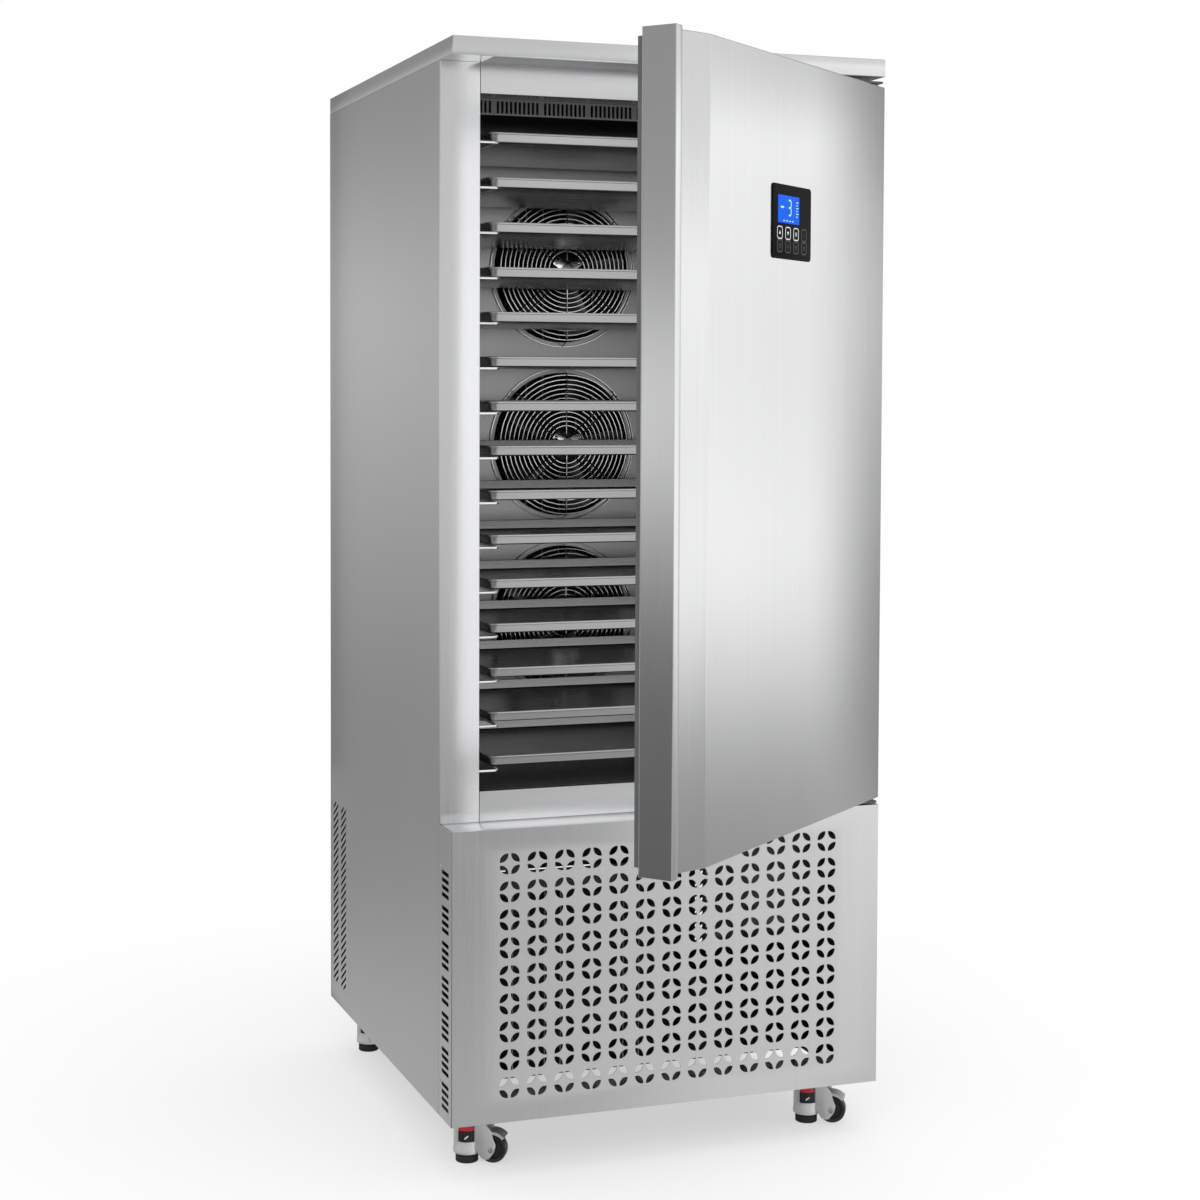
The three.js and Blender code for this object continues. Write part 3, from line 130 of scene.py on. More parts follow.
class Bench:
    """A node tree, and the one way in which nodes are put on it."""

    def __init__(self, tree: bpy.types.NodeTree) -> None:
        """Clears the tree."""
        self.tree = tree
        tree.nodes.clear()

    def add(
        self,
        kind: str,
        settings: dict[str, object] | None = None,
        inputs: dict[str | int, object] | None = None,
        output: str | int = 0,
    ) -> Signal | None:
        """Makes a node.

        Args:
            kind: The node's type.
            settings: What is set first; "stops" are a ramp's (place, grey) pairs.
            inputs: Values or signals by the socket's name or number.
            output: The output that is wanted.

        Returns:
            That output, or None from a node that has none.
        """
        node = self.tree.nodes.new(kind)
        for key, value in (settings or {}).items():
            if key == "stops":
                self.set_stops(node.color_ramp, value)
            else:
                setattr(node, key, value)
        for key, value in (inputs or {}).items():
            if isinstance(value, Signal):
                self.tree.links.new(value.socket, node.inputs[key])
            else:
                node.inputs[key].default_value = value
        return Signal(self, node.outputs[output]) if len(node.outputs) else None

    @staticmethod
    def set_stops(ramp: bpy.types.ColorRamp, stops: Sequence[tuple[float, float]]) -> None:
        """Gives a ramp its grey stops.

        Args:
            ramp: The ramp.
            stops: Pairs of place and grey.
        """
        while len(ramp.elements) < len(stops):
            ramp.elements.new(1.0)
        for element, (place, grey) in zip(ramp.elements, stops):
            element.position = place
            element.color = (grey, grey, grey, 1.0)

    def mix(self, factor: Signal | float, first: object, second: object) -> Signal:
        """Mixes two colours."""
        inputs = {0: factor, 6: first, 7: second}
        return self.add("ShaderNodeMix", {"data_type": "RGBA"}, inputs, 2)

    def place(self, stretch: Place = (1, 1, 1)) -> Signal:
        """Object coordinates."""
        spot = self.add("ShaderNodeTexCoord", output="Object")
        return self.add("ShaderNodeMapping", {}, {"Vector": spot, "Scale": stretch})

    def noise(self, scale: float, detail: float = 3.0, stretch: Place = (1, 1, 1)) -> Signal:
        """A noise from 0 to 1."""
        inputs = {"Vector": self.place(stretch), "Scale": scale, "Detail": detail}
        return self.add("ShaderNodeTexNoise", {}, inputs, 0)

    def cells(self, scale: float, feature: str = "F1", output: str = "Distance") -> Signal:
        """A Voronoi pattern."""
        inputs = {"Vector": self.place(), "Scale": scale}
        return self.add("ShaderNodeTexVoronoi", {"feature": feature}, inputs, output)

    def bump(self, height: Signal, strength: float, depth: float) -> Signal:
        """A Bump node."""
        inputs = {"Height": height, "Strength": strength, "Distance": depth}
        return self.add("ShaderNodeBump", {}, inputs, "Normal")

    def grey(self, value: Signal, tint: Place = (1, 1, 1)) -> Signal:
        """A number as a tinted colour."""
        return self.mix(value, (0, 0, 0, 1), (*tint, 1))


# ---------------------------------------------------------------------- finishes


class Grain(Enum):
    """The way a sheet was brushed, as waves per metre along X, Y and Z."""

    UPRIGHT = (900.0, 900.0, 7.0)
    ACROSS = (7.0, 900.0, 900.0)


@dataclass(frozen=True)
class Finish:
    """A surface finish. Each makes its material once."""

    name: str

    def inputs(self, bench: Bench) -> dict[str, object]:
        """The Principled shader's sockets."""
        raise NotImplementedError

    def material(self) -> bpy.types.Material:
        """Makes the finish's material on first use.

        Returns:
            The material.
        """
        made = bpy.data.materials.get(f"dressed_{self.name}")
        if made:
            return made
        made = bpy.data.materials.new(f"dressed_{self.name}")
        made.use_nodes = True
        bench = Bench(made.node_tree)
        shader = bench.add("ShaderNodeBsdfPrincipled", {}, self.inputs(bench), "BSDF")
        bench.add("ShaderNodeOutputMaterial", {}, {"Surface": shader})
        return made


@dataclass(frozen=True)
class BrushedSteel(Finish):
    """Stainless sheet with a fine straight grain, faint streaks and wiped patches."""

    tone: float = 0.84
    roughness: float = 0.24
    grain: Grain = Grain.UPRIGHT
    contrast: float = 0.05
    streaks: float = 0.04
    wiping: float = 0.05

    def inputs(self, bench: Bench) -> dict[str, object]:
        """Grain in the colour, the roughness and the relief.

        Args:
            bench: The material's tree.

        Returns:
            The Principled shader's sockets.
        """
        fine = bench.noise(1.0, 3.0, self.grain.value)
        broad = bench.noise(0.16, 2.0, self.grain.value)
        wiped = bench.noise(3.5, 2.0)
        tone = self.tone + self.contrast * (fine - 0.5) + self.streaks * (broad - 0.5)
        rough = self.roughness + 0.08 * (fine - 0.5) + self.wiping * (wiped - 0.5)
        return {
            "Base Color": bench.grey(tone, (0.985, 0.99, 1.0)),
            "Metallic": 1.0,
            "Roughness": rough,
            "Normal": bench.bump(fine, 0.04, 0.0002),
        }


@dataclass(frozen=True)
class CastMetal(Finish):
    """Die-cast or plated metal with a soft skin."""

    tone: float = 0.7
    roughness: float = 0.4
    metallic: float = 0.9
    pitting: float = 0.15

    def inputs(self, bench: Bench) -> dict[str, object]:
        """Fine pits and slow cloudiness.

        Args:
            bench: The material's tree.

        Returns:
            The Principled shader's sockets.
        """
        pits = bench.noise(900.0, 3.0)
        cloud = bench.noise(40.0, 3.0)
        tone = self.tone + 0.06 * (cloud - 0.5)
        return {
            "Base Color": bench.grey(tone),
            "Metallic": self.metallic,
            "Roughness": self.roughness + 0.12 * (cloud - 0.5),
            "Normal": bench.bump(pits, self.pitting, 0.0003),
        }


@dataclass(frozen=True)
class Galvanised(Finish):
    """Zinc-coated sheet with its spangle."""

    tone: float = 0.6

    def inputs(self, bench: Bench) -> dict[str, object]:
        """Spangle cells of slightly different grey and gloss.

        Args:
            bench: The material's tree.

        Returns:
            The Principled shader's sockets.
        """
        spangle = bench.add(
            "ShaderNodeSeparateColor", {}, {0: bench.cells(90.0, "F1", "Color")}, 0)
        fine = bench.noise(60.0, 4.0)
        return {
            "Base Color": bench.grey(self.tone + 0.1 * (spangle - 0.5), (0.97, 0.99, 1.0)),
            "Metallic": 0.95,
            "Roughness": 0.38 + 0.14 * (spangle - 0.5) + 0.08 * (fine - 0.5),
            "Normal": bench.bump(fine, 0.05, 0.0003),
        }


@dataclass(frozen=True)
class Coating(Finish):
    """Paint, plastic or rubber: a dark body with its skin texture."""

    colour: Place = (0.02, 0.02, 0.021)
    roughness: float = 0.45
    texture: float = 500.0
    relief: float = 0.15
    coat: float = 0.0
    shine: float = 0.5

    def inputs(self, bench: Bench) -> dict[str, object]:
        """Fine texture, and dust-like unevenness in colour and gloss.

        Args:
            bench: The material's tree.

        Returns:
            The Principled shader's sockets.
        """
        skin = bench.noise(self.texture, 3.0)
        cloud = bench.noise(25.0, 4.0)
        lighter = tuple(min(1.0, 1.35 * c + 0.004) for c in self.colour)
        return {
            "Base Color": bench.mix(cloud, (*self.colour, 1), (*lighter, 1)),
            "Roughness": self.roughness + 0.15 * (cloud - 0.5),
            "Specular IOR Level": self.shine,
            "Coat Weight": self.coat,
            "Coat Roughness": 0.08,
            "Normal": bench.bump(skin, self.relief, 0.0004),
        }


@dataclass(frozen=True)
class Foam(Finish):
    """Graphite-filled insulating foam: dark closed cells."""

    def inputs(self, bench: Bench) -> dict[str, object]:
        """Cells in the relief, browner patches in the colour.

        Args:
            bench: The material's tree.

        Returns:
            The Principled shader's sockets.
        """
        cloud = bench.noise(18.0, 4.0)
        return {
            "Base Color": bench.mix(cloud, (0.20, 0.18, 0.13, 1), (0.28, 0.25, 0.18, 1)),
            "Roughness": 0.9,
            "Normal": bench.bump(bench.cells(450.0), 0.5, 0.0015),
        }


@dataclass(frozen=True)
class Glow(Finish):
    """A lit part of the display."""

    colour: Place = (0.05, 0.2, 0.6)
    power: float = 0.5

    def inputs(self, bench: Bench) -> dict[str, object]:
        """The colour, a little uneven as a backlight is.

        Args:
            bench: The material's tree.

        Returns:
            The Principled shader's sockets.
        """
        cloud = bench.noise(30.0, 1.0)
        darker = tuple(0.8 * c for c in self.colour)
        lit = bench.mix(cloud, (*darker, 1), (*self.colour, 1))
        return {
            "Base Color": (0.01, 0.01, 0.012, 1),
            "Roughness": 0.3,
            "Specular IOR Level": 0.02,
            "Emission Color": lit,
            "Emission Strength": self.power,
        }


STEEL = BrushedSteel("steel_upright")
STEEL_ACROSS = BrushedSteel("steel_across", grain=Grain.ACROSS)
STEEL_DULL = BrushedSteel("steel_dull", tone=0.72, roughness=0.34)
LINER_STEEL = BrushedSteel("steel_liner", tone=0.56, roughness=0.33, contrast=0.03)
# Duct steel darkened to tone 0.11, far below stainless: painted shade under the chamber's ceiling.
DUCT_STEEL_PAINTED_SHADE = BrushedSteel("steel_duct_painted_shade", tone=0.11, roughness=0.34, grain=Grain.ACROSS)
TRAY_STEEL = BrushedSteel("steel_tray", tone=0.46, roughness=0.26, grain=Grain.ACROSS)
CHROME = CastMetal("chrome", tone=0.88, roughness=0.14, metallic=1.0, pitting=0.02)
ALUMINIUM = CastMetal("cast_aluminium", tone=0.80, roughness=0.42, metallic=0.75)
FINS = CastMetal("fin_aluminium", tone=0.40, roughness=0.45, metallic=1.0, pitting=0.05)
ROTOR_METAL = CastMetal("rotor", tone=0.22, roughness=0.4, metallic=0.9, pitting=0.05)
# Hinge steel at tone 0.16: grey steel darkened with painted shade of the bracket's shadowed upper
# part.
HINGE_STEEL = CastMetal("hinge_steel", tone=0.16, roughness=0.35, metallic=0.9, pitting=0.1)
ZINC = Galvanised("galvanised")
# Galvanised sheet darkened to near black: painted shade for the machine compartment behind the
# pierced cover.
ZINC_PAINTED_SHADE = Galvanised("galvanised_painted_shade", tone=0.08)
FOAM = Foam("foam")
BLACK_PAINT = Coating("black_paint", (0.012, 0.012, 0.013), 0.42, 700.0, 0.1)
BEZEL = Coating("bezel", (0.003, 0.003, 0.004), 0.30, 900.0, 0.01, 0.0, 0.02)
KEY_FILM = Coating("key_film", (0.006, 0.006, 0.007), 0.4, 1200.0, 0.05, 0.0, 0.03)
DIM_INK = Coating("dim_ink", (0.075, 0.075, 0.08), 0.45, 1200.0, 0.02, 0.0, 0.1)
INK = Coating("white_ink", (0.72, 0.73, 0.74), 0.4, 1200.0, 0.02)
NYLON = Coating("black_nylon", (0.012, 0.012, 0.013), 0.3, 400.0, 0.08)
RUBBER = Coating("black_rubber", (0.018, 0.018, 0.019), 0.75, 900.0, 0.3)
GREY_RUBBER = Coating("grey_rubber", (0.085, 0.088, 0.092), 0.62, 900.0, 0.15)
RED = Coating("red_dial", (0.50, 0.015, 0.02), 0.3, 500.0, 0.05)
LCD_BACK = Glow("lcd_back", (0.0, 0.14, 1.0), 1.0)
LCD_MARK = Glow("lcd_mark", (0.60, 1.0, 1.0), 1.1)


# ------------------------------------------------------------------------ pieces


class Form:
    """A piece in the making: a bmesh in millimetres, shaped with Blender's own operators."""

    def __init__(self) -> None:
        """Starts empty."""
        self.bm = bmesh.new()
        self.done = self.bm.faces.layers.int.new("done")

    def block(self, low: Place, high: Place) -> list[BMVert]:
        """A box.

        Args:
            low: Its lowest corner.
            high: Its highest corner.

        Returns:
            Its vertices.
        """
        low, high = Vector(low), Vector(high)
        size = Matrix.Diagonal((*(high - low), 1))
        matrix = Matrix.Translation((low + high) / 2) @ size
        return bmesh.ops.create_cube(self.bm, size=1, matrix=matrix)["verts"]

    def bar(self, start: Place, end: Place, radius: float, sides: int = 16) -> None:
        """A round bar.

        Args:
            start: The middle of its first end.
            end: The middle of its last end.
            radius: Its radius.
            sides: Faces round it.
        """
        start, end = Vector(start), Vector(end)
        place = Matrix.Translation((start + end) / 2) @ facing(end - start)
        bmesh.ops.create_cone(
            self.bm, cap_ends=True, segments=sides, radius1=radius, radius2=radius,
            depth=(end - start).length, matrix=place)

    def turned(
        self, profile: Sequence[Flat], place: Matrix, steps: int, closed: bool = False
    ) -> None:
        """A shape of revolution.

        Args:
            profile: (radius, height) stops from one end to the other.
            place: Where its foot and its axis, drawn along Z, go.
            steps: Faces round it.
            closed: Whether the profile is a loop away from the axis.
        """
        stops = [self.bm.verts.new(place @ Vector((r, 0, h))) for r, h in profile]
        pairs = list(zip(stops, stops[1:])) + ([(stops[-1], stops[0])] if closed else [])
        edges = [self.bm.edges.new(pair) for pair in pairs]
        before = set(self.bm.verts) - set(stops)
        bmesh.ops.spin(
            self.bm, geom=stops + edges, cent=place.translation,
            axis=place.to_3x3() @ Z, angle=2 * math.pi, steps=steps, use_merge=True)
        made = [v for v in self.bm.verts if v not in before]
        bmesh.ops.remove_doubles(self.bm, verts=made, dist=2e-3)
        made = [v for v in self.bm.verts if v not in before]
        bmesh.ops.recalc_face_normals(self.bm, faces=around(made))

    def wire(self, path: Sequence[Vector], radius: float, sides: int = 8) -> None:
        """A round wire: a disc at the first stop, extruded from stop to stop.

        Args:
            path: The stops of its middle line.
            radius: The wire's radius.
            sides: Faces round it.
        """
        verts = bmesh.ops.create_circle(
            self.bm, cap_ends=True, segments=sides, radius=radius)["verts"]
        face, last = verts[0].link_faces[0], Matrix.Identity(4)
        for i, stop in enumerate(path):
            if i:
                passed = [face] if i > 1 else []
                fresh = bmesh.ops.extrude_face_region(self.bm, geom=[face])["geom"]
                verts = [g for g in fresh if isinstance(g, BMVert)]
                faces = [g for g in fresh if isinstance(g, BMFace)]
                face = next(f for f in faces if set(f.verts) == set(verts))
                self.remove((f for f in passed if f.is_valid), "FACES_ONLY")
            along = path[min(i + 1, len(path) - 1)] - path[max(i - 1, 0)]
            turn = (last.to_3x3() @ Z).rotation_difference(along).to_matrix().to_4x4()
            spot = Matrix.Translation(stop) @ turn @ last.to_3x3().to_4x4()
            bmesh.ops.transform(self.bm, matrix=spot @ last.inverted(), verts=verts)
            last = spot

    def loop(self, points: Iterable[Place]) -> list[BMEdge]:
        """A closed loop of edges."""
        stops = [self.bm.verts.new(point) for point in points]
        return [self.bm.edges.new((a, b)) for a, b in zip(stops, stops[1:] + stops[:1])]

    def sheet(self, outline: Sequence[Flat], holes: Sequence[Sequence[Flat]]) -> None:
        """A flat pierced sheet at z = 0, facing +Z.

        Args:
            outline: Its corners, anticlockwise.
            holes: The corners of each hole.
        """
        edges = self.loop((u, v, 0) for u, v in outline)
        for hole in holes:
            edges += self.loop((u, v, 0) for u, v in hole)
        made = bmesh.ops.triangle_fill(
            self.bm, use_beauty=True, use_dissolve=False, edges=edges, normal=Z)["geom"]
        faces = [g for g in made if isinstance(g, BMFace)]
        for face in faces:
            face.normal_update()
        bmesh.ops.reverse_faces(self.bm, faces=[f for f in faces if f.normal.z < 0])

    def prism(self, outline: Sequence[Flat], z0: float, z1: float) -> list[BMFace]:
        """A solid of constant section.

        Args:
            outline: Its section in X and Y.
            z0: Its foot.
            z1: Its top.

        Returns:
            Its faces.
        """
        before = set(self.bm.faces)
        foot = self.bm.faces.new([self.bm.verts.new((u, v, z0)) for u, v in outline])
        made = bmesh.ops.extrude_face_region(self.bm, geom=[foot])["geom"]
        raised = [g for g in made if isinstance(g, BMVert)]
        bmesh.ops.translate(self.bm, vec=(0, 0, z1 - z0), verts=raised)
        faces = [f for f in self.bm.faces if f not in before]
        bmesh.ops.recalc_face_normals(self.bm, faces=faces)
        return faces

    def fold(self, corner: Vector, along: Vector, towards: Vector, radius: float = 2.0) -> None:
        """Folds flat sheet by a right angle, with a round bend.

        Args:
            corner: A point of the line where the two flats would meet.
            along: The way the sheet ran before.
            towards: The way the sheet beyond the line runs now.
            radius: The bend's outer radius.
        """
        for step in (-1.0, -0.33, 0.33, 1.0):
            everything = list(self.bm.verts) + list(self.bm.edges) + list(self.bm.faces)
            bmesh.ops.bisect_plane(
                self.bm, geom=everything, dist=1e-4, plane_co=corner + along * radius * step,
                plane_no=along)
        turn = along.rotation_difference(towards).to_matrix()
        middle = corner + (towards - along) * radius
        for vert in self.bm.verts:
            past = (vert.co - corner).dot(along)
            if past >= radius - 1e-3:
                vert.co = corner + turn @ (vert.co - corner)
            elif past > 1e-3 - radius:
                angle = (past / radius + 1) * math.pi / 4
                side = vert.co - corner - along * past
                arm = along * math.sin(angle) - towards * math.cos(angle)
                vert.co = middle + radius * arm + side

    def thicken(self, faces: Iterable[BMFace], thickness: float = SHEET) -> None:
        """Gives a sheet its wall, behind its faces."""
        self.bm.normal_update()
        bmesh.ops.solidify(self.bm, geom=list(faces), thickness=thickness)

    def bevel(self, edges: Iterable[BMEdge], width: float, segments: int = 3) -> None:
        """Rounds edges.

        Args:
            edges: The edges.
            width: The round's width.
            segments: Faces across it.
        """
        bmesh.ops.bevel(
            self.bm, geom=list(edges), offset=width, offset_type="OFFSET", segments=segments,
            profile=0.5, affect="EDGES", clamp_overlap=True, material=-1)

    def inset(self, faces: Iterable[BMFace], *steps: Flat) -> None:
        """Insets a region step by step.

        Args:
            faces: The region.
            steps: Pairs of width and height outwards.
        """
        region = list(faces)
        for width, height in steps:
            bmesh.ops.inset_region(
                self.bm, faces=region, thickness=width, depth=height, use_even_offset=True)

    def split(self, chosen: Callable[[BMFace], bool], cuts: Sequence[tuple[Vector, float]]) -> None:
        """Cuts flat faces along planes.

        Args:
            chosen: Tells which faces.
            cuts: Pairs of an axis and the plane's place on it.
        """
        for axis, at in cuts:
            faces = [f for f in self.bm.faces if chosen(f)]
            edges = list(dict.fromkeys(e for f in faces for e in f.edges))
            geom = faces + edges + corners(faces)
            bmesh.ops.bisect_plane(self.bm, geom=geom, dist=1e-4, plane_co=axis * at, plane_no=axis)

    def remove(self, faces: Iterable[BMFace], context: str = "FACES") -> None:
        """Deletes faces; FACES_ONLY keeps their edges."""
        bmesh.ops.delete(self.bm, geom=list(faces), context=context)

    def outward(self) -> None:
        """Turns every face outwards."""
        bmesh.ops.recalc_face_normals(self.bm, faces=self.bm.faces)

    def sharp(self, verts: Iterable[BMVert], angle: float = 40.0) -> list[BMEdge]:
        """The sharp edges among some vertices.

        Args:
            verts: The vertices.
            angle: The smallest angle in degrees.

        Returns:
            The edges.
        """
        among = dict.fromkeys(verts)
        edges = dict.fromkeys(e for v in among for e in v.link_edges if e.other_vert(v) in among)
        limit = math.radians(angle)
        return [e for e in edges if len(e.link_faces) == 2 and e.calc_face_angle() > limit]

    def soft_block(self, low: Place, high: Place, width: float, segments: int = 2) -> None:
        """A box with rounded edges."""
        self.bevel(self.sharp(self.block(low, high)), width, segments)

    def soft_prism(
        self, outline: Sequence[Flat], z0: float, z1: float, width: float, segments: int,
        angle: float = 40.0
    ) -> None:
        """A solid of constant section with rounded edges."""
        faces = self.prism(outline, z0, z1)
        self.bevel(self.sharp(corners(faces), angle), width, segments)

    def mark(self, slot: int) -> None:
        """Gives the faces made since the last mark a material slot.

        Args:
            slot: The slot's number.
        """
        for face in self.bm.faces:
            if not face[self.done]:
                face.material_index, face[self.done] = slot, 1

    def fresh(self) -> list[BMVert]:
        """The vertices made since the last mark."""
        return corners(f for f in self.bm.faces if not f[self.done])

    def move(self, matrix: Matrix, verts: Iterable[BMVert] | None = None) -> None:
        """Moves vertices."""
        chosen = list(self.bm.verts) if verts is None else list(verts)
        bmesh.ops.transform(self.bm, matrix=matrix, verts=chosen)

    def finish(
        self,
        name: str,
        finishes: Finish | Sequence[Finish],
        slot: str,
        body: str = "cabinet",
        place: Matrix = CABINET,
        stands_for: Sequence[str] = (),
        angle: float = 32.0,
    ) -> None:
        """Makes the piece's object.

        Args:
            name: Its name.
            finishes: Its finish, or one for each material slot.
            slot: The record's material slot; not used.
            body: The body it rides on.
            place: From the form's own frame to the row's, in millimetres.
            stands_for: The CAD nodes it replaces.
            angle: Edges sharper than this, in degrees, stay sharp.
        """
        bmesh.ops.transform(
            self.bm, matrix=Matrix.Scale(MM, 4) @ place, verts=self.bm.verts)
        mesh = bpy.data.meshes.new(name)
        for face in self.bm.faces:
            face.smooth = True
        self.bm.to_mesh(mesh)
        self.bm.free()
        mesh.set_sharp_from_angle(angle=math.radians(angle))
        piece = bpy.data.objects.new(name, mesh)
        bpy.context.scene.collection.objects.link(piece)
        for finish in [finishes] if isinstance(finishes, Finish) else finishes:
            mesh.materials.append(finish.material())
        if stands_for:
            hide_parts(*stands_for)
        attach(piece, body)
        LOG.info("%s rides on %s, %d faces", name, body, len(mesh.polygons))


def corners(faces: Iterable[BMFace]) -> list[BMVert]:
    """The vertices of some faces, in the same order in every run."""
    return list(dict.fromkeys(v for f in faces for v in f.verts))


def around(verts: Iterable[BMVert]) -> list[BMFace]:
    """The faces at some vertices, in the same order in every run."""
    return list(dict.fromkeys(f for v in verts for f in v.link_faces))


def looking(verts: Iterable[BMVert], way: Vector) -> BMFace:
    """The face at some vertices that looks most along a way."""
    return max(around(verts), key=lambda f: f.normal.dot(way))


def facing(way: Vector) -> Matrix:
    """The turn that takes Z to a way."""
    return way.to_track_quat("Z", "Y").to_matrix().to_4x4()


def bearing(spot: Vector) -> float:
    """The angle of a point round Z, in degrees."""
    return math.degrees(math.atan2(spot.y, spot.x))


def arc(middle: Flat, radius: float, first: float, last: float, steps: int) -> list[Flat]:
    """Stops along an arc."""
    angles = [math.radians(first + (last - first) * i / steps) for i in range(steps + 1)]
    return [(middle[0] + radius * math.cos(a), middle[1] + radius * math.sin(a)) for a in angles]


def rounded(low: Flat, high: Flat, radius: float, steps: int = 5) -> list[Flat]:
    """A rectangle with round corners, anticlockwise.

    Args:
        low: Its lowest corner.
        high: Its highest corner.
        radius: Its corners' radius.
        steps: Runs in each corner.

    Returns:
        Its outline.
    """
    (u0, v0), (u1, v1) = low, high
    quarters = ((u1, v1, -1, -1, 0), (u0, v1, 1, -1, 90), (u0, v0, 1, 1, 180), (u1, v0, -1, 1, 270))
    return [
        stop
        for u, v, su, sv, first in quarters
        for stop in arc((u + su * radius, v + sv * radius), radius, first, first + 90, steps)
    ]


def slanted_slot(u: float, v: float, width: float, height: float, rise: float) -> list[Flat]:
    """A slanted slot with rounded corners."""
    flat = rounded((-width / 2, -height / 2), (width / 2, height / 2), height * 0.42, 3)
    return [(u + a, v + b + a * rise / width) for a, b in flat]


# ------------------------------------------------------------------ sub-assemblies


# What the metal mirrors: for each side, pairs of the ray's height and the brightness there,
# and between which two azimuths in degrees each side takes over from the one before it.
SKY_REACH = 0.3
SKY = {
    "right": (
        (-0.30, 0.30), (-0.25, 0.46), (-0.21, 0.84), (-0.17, 1.12), (-0.12, 1.14), (-0.05, 1.02),
        (0.0, 0.96), (0.08, 1.02), (0.16, 1.2), (0.23, 0.74)),
    "front_right": (
        (-0.28, 0.66), (-0.18, 0.86), (-0.05, 0.84), (0.08, 0.90), (0.17, 1.15), (0.23, 0.74)),
    "front": (
        (-0.29, 0.48), (-0.26, 0.42), (-0.235, 0.10), (-0.20, 0.02), (-0.175, 0.30),
        (-0.12, 0.56), (0.0, 0.70), (0.15, 0.60)),
    "back": (
        (-0.28, 0.44), (-0.22, 0.27), (-0.14, 0.26), (-0.05, 0.40), (0.037, 0.55), (0.12, 0.28)),
    "left": (
        (-0.25, 0.12), (-0.19, 0.17), (-0.14, 0.32), (-0.08, 0.56), (-0.02, 0.86),
        (0.05, 0.92), (0.10, 0.62), (0.15, 0.30)),
}
SECTORS = (
    ("front", -150, -90), ("front_right", -78, -60), ("right", -58, -34), ("back", 17, 31),
    ("left", 125, 160))


